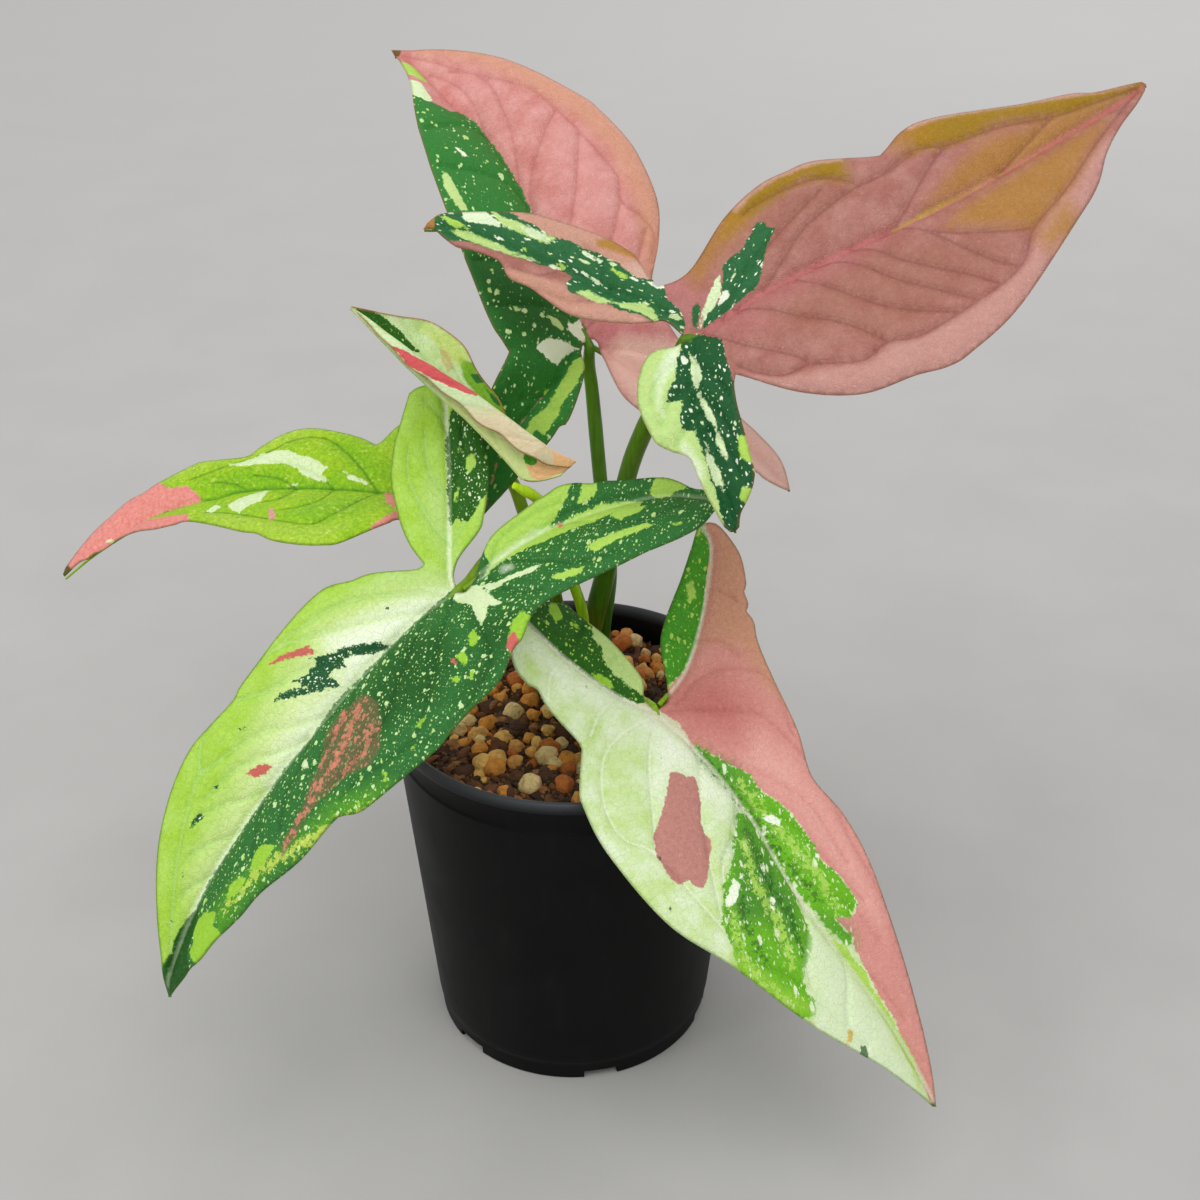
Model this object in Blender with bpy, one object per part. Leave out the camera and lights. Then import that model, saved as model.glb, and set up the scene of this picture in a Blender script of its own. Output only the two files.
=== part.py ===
"""An arrowhead plant with variegated leaves, built together with its black nursery pot.

Run it with blender --background --python part.py. Lengths in the tables are millimetres, the mesh is in
metres. World: +Z up, the pot's underside stands on Z = 0, and the photographed side faces -Y.
"""

import math

import bmesh
import bpy
import numpy as np
from mathutils import Vector, noise
from mathutils.geometry import delaunay_2d_cdt

mm = 0.001

# The pot, a 5 inch nursery pot
rimRadius = 62.5
potHeight = 131.5
baseRadius = 49.2
wall = 1.6
floorThickness = 2.2
lipDepth = 4.5
lipOverhang = 1.6
stepRingDrop = 13.0
bottomRingHeight = 8.0
potSides = 72
notchCount = 6
notchFirstAngle = -78.0
notchWidth = 12.0
notchHeight = 3.5

# The soil
soilTop = 122.0
soilGap = 0.4
soilSpacing = 4.4
soilSides = 60
lumpHeight = 4.0
lumpSize = 8.0
heapHeight = 3.0
soilSeed = 3.7

# The leaves
bladeThickness = 0.8
bladeSpacing = 7.5
edgeSpacing = 5.0
ribSoftness = 3.0
cupWidth = 9.0
blendAcross = 0.45
stalkSides = 12
stalkStep = 7.0
holeGap = 0.45
footDepth = 22.0

# Each open blade: where its stalk meets it, where its tip ends, how far it rolls about the line between
# them and arches along it, how its halves rise from the ribs (cup, slope and droop), and how much the
# ears of its second and third ribs rise. The outline is drawn on the flat blade, x across and y towards
# the tip, from the tip round both ears, in stretches that start at its corners.
blades = {
    "blade_back": {
        "junction": (6, 30, 248),
        "tip": (-59, 110, 320),
        "roll": -10,
        "arch": 25,
        "cup": 2.5,
        "slope": 0.28,
        "droop": 0.35,
        "rises": (-40, -12),
        "ribs": [
            [(0, 0), (6.5, 57), (7, 79), (3.5, 98), (1, 122), (-1.5, 125.5)],
            [(0, 0), (-5.5, -1.5), (-14, -6.5), (-37.5, -19), (-44.5, -32.5)],
            [(0, 0), (36, -49), (48, -71)],
        ],
        "outline": [
            [
                (-1.5, 125.5), (0.5, 126), (25.5, 103), (41, 77.5), (44, 69), (46, 59), (46.5, 49.5),
                (43.5, 32.5), (36.5, 20), (27.5, 9),
            ],
            [(25, 2.5), (26.5, -8.5), (30, -23.5), (34.5, -36), (42, -49.5), (47, -60.5)],
            [
                (48, -71), (43, -68.5), (37.5, -64), (34.5, -60), (15.5, -42.5), (7.5, -34),
                (2.5, -27.5), (0, -21), (0.5, -13.5), (3, -2),
            ],
            [(0.5, 1), (-3.5, -2), (-7, -9.5), (-17.5, -20.5), (-20.5, -21), (-25.5, -24)],
            [(-44.5, -32.5), (-44.5, -21), (-39.5, -5)],
            [
                (-28.5, 5.5), (-29.5, 9.5), (-30.5, 16), (-28.5, 32), (-22.5, 63.5), (-15, 88.5),
                (-5.5, 109.5),
            ],
        ],
    },
    "blade_right": {
        "junction": (36, -15, 269),
        "tip": (172.5, 38, 331),
        "roll": 28,
        "arch": 20,
        "cup": 2.5,
        "slope": 0.1,
        "droop": 0.15,
        "rises": (20, -14),
        "ribs": [
            [(0, 0), (2.5, 4.5), (3, 29), (10, 85.5), (7.5, 140), (4, 160)],
            [(0, 0), (-15, -4.5), (-47, -23.5), (-67.5, -39.5), (-72.5, -47)],
            [(0, 0), (17.5, -9), (33.5, -14), (54.5, -22)],
        ],
        "outline": [
            [
                (4, 160), (3, 159), (0.5, 143.5), (-2.5, 136), (-7, 120), (-16.5, 96), (-17.5, 86.5),
                (-14.5, 78), (-15, 74.5), (-24, 60), (-26, 51.5), (-27, 42), (-24, 28.5), (-16, 11),
                (-18.5, 1),
            ],
            [
                (-21, 1), (-22, 0.5), (-29.5, 1), (-34, 0), (-43, -4), (-56.5, -13.5), (-64, -21.5),
                (-73, -37.5), (-73.5, -43.5),
            ],
            [
                (-72.5, -47), (-70.5, -44), (-64, -42.5), (-61.5, -41), (-59, -38), (-52.5, -33.5),
                (-46, -34), (-39, -30), (-25.5, -25), (-14.5, -14), (-10, -6.5), (-8.5, -3),
            ],
            [
                (0, -1), (1, -4.5), (-1, -12), (3, -18.5), (11, -24), (21, -26), (25.5, -25.5),
                (31.5, -21), (34, -21), (41.5, -22.5), (52.5, -23.5),
            ],
            [(54.5, -22), (54.5, -20.5), (52.5, -18), (51, -13), (48.5, -9), (44.5, -6.5), (26, 0.5)],
            [
                (21, 4), (38, 15.5), (49.5, 29), (54, 44), (57, 52.5), (57, 60.5), (52.5, 79.5),
                (37, 110.5), (30.5, 121.5), (22, 131), (15, 141.5), (9.5, 152),
            ],
        ],
    },
    "blade_front_left": {
        "junction": (-35, -30, 190),
        "tip": (-119, -110, 97),
        "roll": -12,
        "arch": 30,
        "cup": 2.5,
        "slope": 0.2,
        "droop": 0.3,
        "rises": (28, 18),
        "ribs": [
            [(0, 0), (4, 23.5), (7.5, 104.5), (4, 141.5), (0, 151)],
            [(0, 0), (9, -7.5), (36.5, -43.5), (41, -45.5)],
            [(0, 0), (-6, -25), (-14.5, -39.5), (-26, -51.5), (-39.5, -60), (-58, -63.5)],
        ],
        "outline": [
            [
                (0, 151), (7, 143), (26.5, 114.5), (35, 89), (33, 68.5), (34, 61.5), (34.5, 37.5),
                (33.5, 26), (31.5, 21.5), (27.5, 17), (24, 11.5), (15, 3), (13.5, 0.5),
            ],
            [
                (13.5, -1), (20.5, -3), (28, -7), (38, -15), (41.5, -20), (44, -25.5), (46.5, -37),
                (46.5, -39), (45, -41.5),
            ],
            [(41, -45.5), (32.5, -47), (28, -46), (16, -38), (7.5, -24), (6, -19), (6, -6.5)],
            [
                (-0.5, 0), (-3, -3.5), (2, -20), (-1.5, -35.5), (-3.5, -41), (-5.5, -46), (-9, -49.5),
                (-14, -52.5), (-18.5, -56), (-34.5, -64), (-46, -64), (-50.5, -64.5),
            ],
            [
                (-58, -63.5), (-58.5, -57.5), (-58, -52.5), (-54.5, -46.5), (-51, -42), (-45, -34),
                (-30, -9.5),
            ],
            [
                (-32.5, 4.5), (-32.5, 8), (-36, 18.5), (-34.5, 31), (-34, 38.5), (-34, 46), (-28, 67.5),
                (-25.5, 73), (-22, 76), (-20.5, 79), (-18.5, 93.5), (-13, 107.5), (-11, 117),
                (-7.5, 127), (-6, 134), (-4, 138.5), (-3, 143),
            ],
        ],
    },
    "blade_front_right": {
        "junction": (28, -30, 146),
        "tip": (116, -105, 46),
        "roll": 12,
        "arch": 20,
        "cup": 2.5,
        "slope": 0.12,
        "droop": 0.2,
        "rises": (20, 20),
        "ribs": [
            [(0, 0), (0.5, 6.5), (-1.5, 16.5), (-2, 46), (1, 76.5), (-1, 125), (0, 154.5)],
            [(0, 0), (2, -1), (8.5, -10.5), (26.5, -46)],
            [(0, 0), (-17, -4.5), (-34, -16.5), (-46.5, -30.5), (-46.5, -39)],
        ],
        "outline": [
            [
                (0, 154.5), (1, 153.5), (11, 132), (24.5, 107.5), (35.5, 79), (45, 56.5), (47, 29),
                (44, 13), (41, 7.5),
            ],
            [
                (32, -2), (31.5, -5.5), (33.5, -17.5), (33.5, -24.5), (35.5, -26.5), (37, -31.5),
                (36.5, -35.5), (34, -40),
            ],
            [
                (26.5, -46), (20.5, -47), (8, -43), (5, -38), (0, -26.5), (-2, -12.5), (-1, -8),
                (1.5, -4.5),
            ],
            [(0, 1), (-7, -1.5), (-15, -17), (-32.5, -29)],
            [(-46.5, -39), (-51.5, -34.5), (-53.5, -24), (-50.5, -15), (-48.5, -13.5), (-47.5, -9.5)],
            [
                (-45.5, -8), (-45.5, -3.5), (-42, 4), (-34.5, 30), (-31, 38.5), (-27.5, 46), (-27, 52),
                (-28, 63.5), (-24.5, 84), (-10, 128.5),
            ],
        ],
    },
    "blade_far_left": {
        "junction": (-47, 22, 198),
        "tip": (-174, 22, 165),
        "roll": -8,
        "arch": 40,
        "cup": 2,
        "slope": 0.15,
        "droop": 0.2,
        "rises": (0, 0),
        "ribs": [
            [(0, 0), (-2.5, 11.5), (7.5, 61), (7, 72), (8.5, 78.5), (9, 97.5), (5.5, 117), (-0.5, 133.5)],
            [(0, 0), (33.5, -10)],
            [(0, 0), (-15.5, -10), (-19.5, -14)],
        ],
        "outline": [
            [
                (0, 133.5), (2.5, 132.5), (12.5, 121.5), (16.5, 114.5), (20.5, 107.5), (21.5, 101.5),
                (23.5, 96.5), (26.5, 83.5), (27, 79.5), (24.5, 70), (23.5, 62.5), (27, 58), (31, 52),
                (33, 46), (32, 38.5), (25.5, 25),
            ],
            [(21, 19), (22, 17), (33.5, 11), (44.5, 2), (46, -3.5), (41.5, -7.5)],
            [(33.5, -10), (6.5, -3)],
            [(0.5, -0.5), (-8.5, -6.5), (-13, -10.5)],
            [(-19.5, -14), (-26.5, -9.5), (-27.5, -4.5), (-22.5, 5), (-21.5, 9.5)],
            [
                (-23.5, 11.5), (-34.5, 25.5), (-35.5, 32), (-34, 39.5), (-30, 48), (-24.5, 54),
                (-21, 60.5), (-7, 79), (-6, 85), (-4, 93), (0.5, 101.5), (2, 109.5), (-1.5, 113.5),
                (3, 124.5),
            ],
        ],
    },
}

# The newest leaf is still rolled. Its stations run from the tip (0) to the junction (1), as the heights
# of the near half's free edge, the fold's crest and the far half's edge above the line between them.
newLeaf = {
    "junction": (-11, -7.5, 212.8),
    "tip": (-65, -1.8, 272.4),
    "facing": (0.09, -0.9, 0.42),
    "earStart": 0.93,
    "stations": [
        (0.01, 0.0, 0.5, 0.8),
        (0.09, 0.2, 1.9, 5.0),
        (0.16, 0.0, 2.8, 8.9),
        (0.28, -0.1, 4.5, 15.0),
        (0.39, 0.9, 6.0, 16.8),
        (0.50, 2.3, 8.1, 14.6),
        (0.58, 2.6, 9.4, 13.8),
        (0.66, 3.3, 10.4, 12.6),
        (0.75, 5.1, 11.3, 10.2),
        (0.84, 6.1, 12.5, 7.5),
        (0.93, 8.2, 13.4, 4.5),
        (0.98, 10.6, 14.2, 3.0),
        (1.03, 13.4, 14.6, 2.0),
    ],
    "keel": [(0.0, 0.0), (0.3, -0.4), (0.5, 0.5), (0.6, 1.2), (0.75, 1.2), (0.9, 0.6), (1.0, -0.6)],
}

# Each stalk: its points from the soil up in world millimetres, then its last points on its blade's own
# axes (across, along, above), and its radii at its foot, halfway and at its top.
stalks = {
    "stalk_back": {
        "blade": "blade_back",
        "path": [(9, 21, 127), (10.9, 22, 147), (13, 25, 168), (10, 30, 198), (7.4, 31, 229)],
        "approach": [(0, -6.5, -8), (0.3, -1.5, -1.35)],
        "radii": (3.0, 2.4, 2.1),
    },
    "stalk_right": {
        "blade": "blade_right",
        "path": [
            (2, 14, 127), (4.5, 13.5, 139), (12, 11, 174), (18.5, 4, 212), (23.6, -1, 231), (30, -9, 250),
        ],
        "approach": [(0, -7, -8), (0, -1.8, -1.35)],
        "radii": (3.6, 3.0, 2.3),
    },
    "stalk_new": {
        "blade": None,
        "path": [
            (4, 6, 127), (4.8, 5, 142), (4.2, 4, 160), (1.6, 2.5, 172), (-4.3, 0.2, 191.5), (-8.9, -2.2, 206.3),
            (-15.7, -8.9, 215.2),
        ],
        "approach": [],
        "radii": (1.9, 1.8, 1.8),
    },
    "stalk_front_left": {
        "blade": "blade_front_left",
        "path": [(-6, 6, 127), (-8, 6, 150), (-13, 2, 172)],
        "approach": [(1, -34, -16), (3, -20, -6.5), (1.6, -7, -4.6), (0.3, -1.4, -1.35)],
        "radii": (2.8, 2.3, 1.9),
    },
    "stalk_front_right": {
        "blade": "blade_front_right",
        "path": [(10, 5, 127), (11, 2.5, 132)],
        "approach": [(-2, -12, -14), (0, -1.5, -1.35)],
        "radii": (2.6, 2.3, 1.9),
    },
    "stalk_far_left": {
        "blade": "blade_far_left",
        "path": [
            (-5, 15, 127), (-4.6, 15.4, 142), (-5, 17, 158), (-9.4, 19, 173), (-15.2, 21, 189),
            (-19.5, 23, 201), (-27, 25, 206),
        ],
        "approach": [(0.5, -11, 6), (0.5, -2.3, 0.3)],
        "radii": (2.4, 2.2, 1.7),
    },
}
mainStem = {"foot": (10.6, 13), "top": 130, "radius": 2.5}

colours = {
    "pot_plastic": ((0.012, 0.012, 0.013), 0.38),
    "soil_mix": ((0.09, 0.045, 0.025), 0.95),
    "leaf_pink": ((0.62, 0.27, 0.22), 0.42),
    "leaf_lime": ((0.42, 0.58, 0.14), 0.42),
    "stalk_green": ((0.12, 0.17, 0.02), 0.4),
}


def clearScene():
    for obj in list(bpy.data.objects):
        bpy.data.objects.remove(obj, do_unlink=True)


def material(name):
    found = bpy.data.materials.get(name)
    if found:
        return found
    colour, roughness = colours[name]
    made = bpy.data.materials.new(name)
    made.use_nodes = True
    shader = made.node_tree.nodes["Principled BSDF"]
    shader.inputs["Base Color"].default_value = (*colour, 1)
    shader.inputs["Roughness"].default_value = roughness
    shader.inputs["Metallic"].default_value = 0
    made.diffuse_color = (*colour, 1)
    return made


def addMesh(name, points, faces, materialName):
    """A new object from points in millimetres."""
    mesh = bpy.data.meshes.new(name)
    mesh.from_pydata([[c * mm for c in p] for p in points], [], [tuple(f) for f in faces])
    mesh.validate()
    obj = bpy.data.objects.new(name, mesh)
    bpy.context.scene.collection.objects.link(obj)
    mesh.materials.append(material(materialName))
    return obj


def smoothLine(points, step):
    """Points about a step apart on the smooth curve through the given points."""
    p = [np.array(q, float) for q in points]
    p = [2 * p[0] - p[1]] + p + [2 * p[-1] - p[-2]]
    line = []
    for a, b, c, d in zip(p, p[1:], p[2:], p[3:]):
        count = max(1, round(float(np.linalg.norm(c - b)) / step))
        for k in range(count):
            t = k / count
            bent = (2 * a - 5 * b + 4 * c - d) * t**2 + (3 * b - a - 3 * c + d) * t**3
            line.append(0.5 * (2 * b + (c - a) * t + bent))
    line.append(p[-2])
    return line


def outlineOf(blade, step):
    stretches = blade["outline"]
    line = []
    for stretch, following in zip(stretches, stretches[1:] + stretches[:1]):
        line += smoothLine(stretch + [following[0]], step)[:-1]
    return np.array(line)


def distanceTo(line, x, y):
    nearest = np.full(np.shape(x), 1e9)
    for (x0, y0), (x1, y1) in zip(line, line[1:]):
        ux, uy = x1 - x0, y1 - y0
        k = np.clip(((x - x0) * ux + (y - y0) * uy) / (ux * ux + uy * uy), 0, 1)
        nearest = np.minimum(nearest, np.hypot(x - x0 - k * ux, y - y0 - k * uy))
    return nearest


def inside(outline, x, y):
    found = np.zeros(np.shape(x), bool)
    for (x0, y0), (x1, y1) in zip(outline, np.roll(outline, -1, axis=0)):
        if y0 != y1:
            found ^= ((y0 > y) != (y1 > y)) & (x < x0 + (y - y0) * (x1 - x0) / (y1 - y0))
    return found


def triangulated(outline, ribs, spacing):
    """Flat points and triangles that fill an outline, with edges along the ribs."""
    low, high = outline.min(axis=0), outline.max(axis=0)
    rows = np.arange(low[1], high[1], spacing * 0.87)
    grid = []
    for n, y in enumerate(rows):
        for x in np.arange(low[0] + (n % 2) * spacing / 2, high[0], spacing):
            grid.append((x, y))
    grid = np.array(grid)
    x, y = grid[:, 0], grid[:, 1]
    closedLine = np.vstack([outline, outline[:1]])
    keep = inside(outline, x, y)
    keep &= distanceTo(closedLine, x, y) > spacing * 0.45
    points = [tuple(p) for p in outline]
    edges = [(i, (i + 1) % len(outline)) for i in range(len(outline))]
    for rib in ribs:
        line = [p for p in smoothLine(rib, spacing) if inside(outline, *np.array(p)[:, None])[0]]
        line = [p for p in line if distanceTo(closedLine, *np.array(p)[:, None])[0] > 1.5]
        keep &= distanceTo(line, x, y) > spacing * 0.45
        edges += [(len(points) + i, len(points) + i + 1) for i in range(len(line) - 1)]
        points += [tuple(p) for p in line]
    points += [tuple(p) for p in grid[keep]]
    flat, _, faces, _, _, _ = delaunay_2d_cdt([Vector(p) for p in points], edges, [], 1, 1e-3)
    return np.array([tuple(p) for p in flat]), faces


def frameOf(blade):
    """A blade's junction, its axes across, along and above there, and its main lobe's length."""
    start = np.array(blade["junction"], float)
    chord = np.array(blade["tip"], float) - start
    span = float(np.linalg.norm(chord))
    chord /= span
    above = np.array([0.0, 0.0, 1.0])
    above -= chord * (above @ chord)
    above /= np.linalg.norm(above)
    across = np.cross(chord, above)
    roll = math.radians(blade["roll"])
    above = above * math.cos(roll) + across * math.sin(roll)
    across = np.cross(chord, above)
    half = math.radians(blade["arch"]) / 2
    along = chord * math.cos(half) + above * math.sin(half)
    above = above * math.cos(half) - chord * math.sin(half)
    return start, across, along, above, span * half / math.sin(half)


def heightOn(blade, x, y):
    """How far the blade lies above its flat plane: it rises from the ribs, and its ears turn up or down."""
    distances = [distanceTo(rib, x, y) for rib in blade["ribs"]]
    d = -ribSoftness * np.log(sum(np.exp(-q / ribSoftness) for q in distances))
    d = np.maximum(d, 0)
    z = blade["cup"] * (1 - np.exp(-d / cupWidth)) + blade["slope"] * d - blade["droop"] * d * d / 100
    for rib, rise in zip(blade["ribs"][1:], blade["rises"]):
        earX, earY = rib[-1]
        span = math.hypot(earX, earY)
        reach = (x * earX + y * earY) / span - blendAcross * abs(x * earY - y * earX) / span
        z = z + rise * (np.maximum(reach, 0) / span) ** 2
    return z


def onBlade(blade, x, y):
    """World points, in millimetres, of flat blade points: the main lobe is bent to its arch."""
    x, y = np.asarray(x, float), np.asarray(y, float)
    start, across, along, above, length = frameOf(blade)
    z = heightOn(blade, x, y)
    bend = math.radians(blade["arch"]) / length
    angle = np.maximum(y, 0) * bend
    far = np.where(y > 0, (1 / bend + z) * np.sin(angle), y)
    up = np.where(y > 0, (1 / bend + z) * np.cos(angle) - 1 / bend, z)
    return start + x[:, None] * across + far[:, None] * along + up[:, None] * above


def thicken(obj):
    """Gives a sheet its thickness on its underside."""
    shell = obj.modifiers.new("thickness", "SOLIDIFY")
    shell.thickness = bladeThickness * mm
    shell.offset = -1
    shell.use_rim = True


def openBlade(name, materialName):
    blade = blades[name]
    flat, faces = triangulated(outlineOf(blade, edgeSpacing), blade["ribs"], bladeSpacing)
    obj = addMesh(name, onBlade(blade, flat[:, 0], flat[:, 1]), faces, materialName)
    thicken(obj)
    return obj


def rolledBlade(name, materialName):
    """The newest leaf: a trough whose near half folds over towards the viewer and ends in an ear."""
    leaf = newLeaf
    start, tip = np.array(leaf["junction"]), np.array(leaf["tip"])
    facing = np.array(leaf["facing"]) / np.linalg.norm(leaf["facing"])
    up = np.cross((tip - start) / np.linalg.norm(tip - start), facing)
    up /= np.linalg.norm(up)
    facing = np.cross(up, (tip - start) / np.linalg.norm(tip - start))
    table = np.array(leaf["stations"])
    keelTable = np.array(leaf["keel"])
    stations = np.concatenate([np.linspace(0.01, leaf["earStart"], 16), [0.965, 1.0, 1.03]])
    nearColumns, farColumns = 10, 5
    rows, faces = [], []
    for s in stations:
        edge, crest, far = (np.interp(s, table[:, 0], table[:, k]) for k in (1, 2, 3))
        keel = np.interp(s, keelTable[:, 0], keelTable[:, 1])
        if s > leaf["earStart"]:
            keel += (crest - keel) * ((s - leaf["earStart"]) / (1.06 - leaf["earStart"])) ** 1.5
        bulge = min(1, s / 0.25) * min(1, (1.08 - s) / 0.2)
        row = []
        for k in range(nearColumns + 1):
            t = 1 - k / nearColumns
            early, late = 3 * t * (1 - t) ** 2, 3 * t * t * (1 - t)
            u = keel * (1 - t) ** 3 + 1.22 * crest * (early + late) + edge * t**3
            w = (-1.0 * early + 5.0 * late + 4.6 * t**3) * bulge
            row.append((u, w))
        if s <= leaf["earStart"]:
            for k in range(1, farColumns + 1):
                t = k / farColumns
                row.append((keel + (far - keel) * t, -(5.5 * math.sin(t * math.pi / 2) + 0.5 * t) * bulge))
        base = tip + (start - tip) * s
        rows.append([base + up * u + facing * w for u, w in row])
    points, index = [], []
    for row in rows:
        index.append(range(len(points), len(points) + len(row)))
        points += row
    for a, b in zip(index, index[1:]):
        for k in range(min(len(a), len(b)) - 1):
            faces += [(a[k], b[k], b[k + 1]), (a[k], b[k + 1], a[k + 1])]
    obj = addMesh(name, points, faces, materialName)
    thicken(obj)
    return obj


def sweep(path, radii, cutNormal=None):
    """Points and faces of a round rod along a path, its last end cut flat across cutNormal."""
    path = [np.array(p, float) for p in path]
    lengths = np.concatenate([[0], np.cumsum([np.linalg.norm(b - a) for a, b in zip(path, path[1:])])])
    along = lengths / lengths[-1]
    points, faces = [], []
    side = np.array([1.0, 0, 0])
    for i, p in enumerate(path):
        tangent = path[min(i + 1, len(path) - 1)] - path[max(i - 1, 0)]
        tangent /= np.linalg.norm(tangent)
        side = side - tangent * (side @ tangent)
        side /= np.linalg.norm(side)
        other = np.cross(tangent, side)
        radius = np.interp(along[i], np.linspace(0, 1, len(radii)), radii)
        for k in range(stalkSides):
            turn = 2 * math.pi * k / stalkSides
            q = p + radius * (side * math.cos(turn) + other * math.sin(turn))
            if cutNormal is not None and i == len(path) - 1:
                q = q + tangent * ((cutNormal @ (p - q)) / (cutNormal @ tangent))
            points.append(q)
    for i in range(len(path) - 1):
        for k in range(stalkSides):
            a, b = i * stalkSides + k, i * stalkSides + (k + 1) % stalkSides
            faces.append((a, b, b + stalkSides, a + stalkSides))
    faces.append(tuple(range(stalkSides - 1, -1, -1)))
    faces.append(tuple(range(len(points) - stalkSides, len(points))))
    return points, faces


def stalkPath(stalk):
    points = [np.array(p, float) for p in stalk["path"]]
    if stalk["blade"]:
        start, across, along, above, _ = frameOf(blades[stalk["blade"]])
        points += [start + x * across + y * along + z * above for x, y, z in stalk["approach"]]
    return points


def addStalk(name, stalk):
    points = stalkPath(stalk)
    path = [points[0] * (1, 1, 0) + (0, 0, soilTop - footDepth)] + smoothLine(points, stalkStep)
    across = None
    if stalk["blade"] and stalk["approach"][-1][2] < 0:
        across = frameOf(blades[stalk["blade"]])[3]
    foot, middle, top = stalk["radii"]
    return addMesh(name, *sweep(path, (foot, foot, middle, middle, top), across), "stalk_green")


def addMainStem():
    x, y = mainStem["foot"]
    top, radius = mainStem["top"], mainStem["radius"]
    path = [(x, y, soilTop - footDepth), (x, y, soilTop), (x, y, top - 1.2), (x, y, top)]
    return addMesh("main_stem", *sweep(path, (radius, radius, radius, radius * 0.7)), "stalk_green")


def spun(name, profile, materialName):
    """A solid of revolution from a profile of (radius, height) that starts and ends on the axis."""
    mesh = bmesh.new()
    verts = [mesh.verts.new((r * mm, 0, z * mm)) for r, z in profile]
    edges = [mesh.edges.new(pair) for pair in zip(verts, verts[1:])]
    bmesh.ops.spin(mesh, geom=verts + edges, cent=(0, 0, 0), axis=(0, 0, 1), angle=2 * math.pi, steps=potSides)
    bmesh.ops.remove_doubles(mesh, verts=mesh.verts, dist=1e-5)
    bmesh.ops.recalc_face_normals(mesh, faces=mesh.faces)
    data = bpy.data.meshes.new(name)
    mesh.to_mesh(data)
    mesh.free()
    obj = bpy.data.objects.new(name, data)
    bpy.context.scene.collection.objects.link(obj)
    data.materials.append(material(materialName))
    return obj


def wallRadius(height):
    """The outer radius of the tapered wall."""
    top = rimRadius - lipOverhang
    return baseRadius + (top - baseRadius) * height / potHeight


def addPot():
    lip, step = potHeight - lipDepth, potHeight - stepRingDrop
    profile = [
        (0, 0),
        (baseRadius - 1, 0),
        (wallRadius(1), 1),
        (wallRadius(bottomRingHeight), bottomRingHeight),
        (wallRadius(bottomRingHeight) + 0.35, bottomRingHeight + 0.5),
        (wallRadius(step - 1) + 0.35, step - 1),
        (wallRadius(step) - 0.25, step),
        (wallRadius(lip) - 0.25, lip),
        (rimRadius - 0.4, lip + 0.5),
        (rimRadius, lip + 1.2),
        (rimRadius, potHeight - 1.0),
        (rimRadius - 0.6, potHeight - 0.2),
        (rimRadius - 1.4, potHeight),
        (rimRadius - 2.6, potHeight - 0.5),
        (rimRadius - 3.4, potHeight - 2.5),
        (wallRadius(step) - wall - 0.25, step - 2),
        (wallRadius(floorThickness) - wall, floorThickness),
        (0, floorThickness),
    ]
    pot = spun("pot", profile, "pot_plastic")
    for n in range(notchCount):
        angle = math.radians(notchFirstAngle + 360 * n / notchCount)
        bpy.ops.mesh.primitive_cube_add(size=1)
        cutter = bpy.context.object
        cutter.name = f"notch_cutter_{n + 1}"
        cutter.scale = (9 * mm, notchWidth * mm, 2 * notchHeight * mm)
        cutter.location = (math.cos(angle) * baseRadius * mm, math.sin(angle) * baseRadius * mm, 0)
        cutter.rotation_euler = (0, 0, angle)
        cut(pot, cutter)
    return pot


def cut(obj, cutter):
    cutter.hide_render = True
    cutter.display_type = "WIRE"
    gap = obj.modifiers.new(cutter.name, "BOOLEAN")
    gap.operation = "DIFFERENCE"
    gap.object = cutter


def soilHeight(x, y):
    """The soil's surface: heaped towards the back, with coarse lumps."""
    heap = heapHeight * math.exp(-((x - 5) ** 2 + (y - 25) ** 2) / 900)
    lump = noise.noise(Vector((x / lumpSize, y / lumpSize, soilSeed)))
    fine = noise.noise(Vector((x / lumpSize * 2.1, y / lumpSize * 2.1, soilSeed + 5)))
    return soilTop - 1.5 + heap + lumpHeight * (0.6 * lump + 0.35 * fine)


def addSoil():
    step = potHeight - stepRingDrop
    inner = wallRadius(step) - wall - 0.25 - soilGap
    lower = wallRadius(floorThickness) - wall - soilGap
    angles = np.linspace(0, 2 * math.pi, soilSides, endpoint=False)
    topRing = [(inner * math.cos(a), inner * math.sin(a)) for a in angles]
    flat, faces = triangulated(np.array(topRing), [], soilSpacing)
    points = [(x, y, soilHeight(x, y)) for x, y in flat]
    ring = [i for i, (x, y) in enumerate(flat) if math.hypot(x, y) > inner - 0.01]
    ring.sort(key=lambda i: math.atan2(flat[i][1], flat[i][0]))
    for i in ring:
        points[i] = (points[i][0], points[i][1], soilTop - 4)
    base = len(points)
    taper, low = lower / inner, floorThickness + soilGap
    points += [(points[i][0] * taper, points[i][1] * taper, low) for i in ring]
    points.append((0, 0, low))
    faces = [tuple(f) for f in faces]
    for k in range(len(ring)):
        following = (k + 1) % len(ring)
        faces.append((ring[following], ring[k], base + k, base + following))
        faces.append((base + following, base + k, len(points) - 1))
    soil = addMesh("soil", points, faces, "soil_mix")
    mesh = bmesh.new()
    mesh.from_mesh(soil.data)
    bmesh.ops.recalc_face_normals(mesh, faces=mesh.faces)
    mesh.to_mesh(soil.data)
    mesh.free()
    return soil


def addHole(soil, name, x, y, radius):
    """A plain round hole for what stands in the soil."""
    path = [(x, y, soilTop - footDepth - holeGap), (x, y, soilTop + 12)]
    hole = addMesh(name, *sweep(path, (radius + holeGap, radius + holeGap)), "soil_mix")
    cut(soil, hole)


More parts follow.
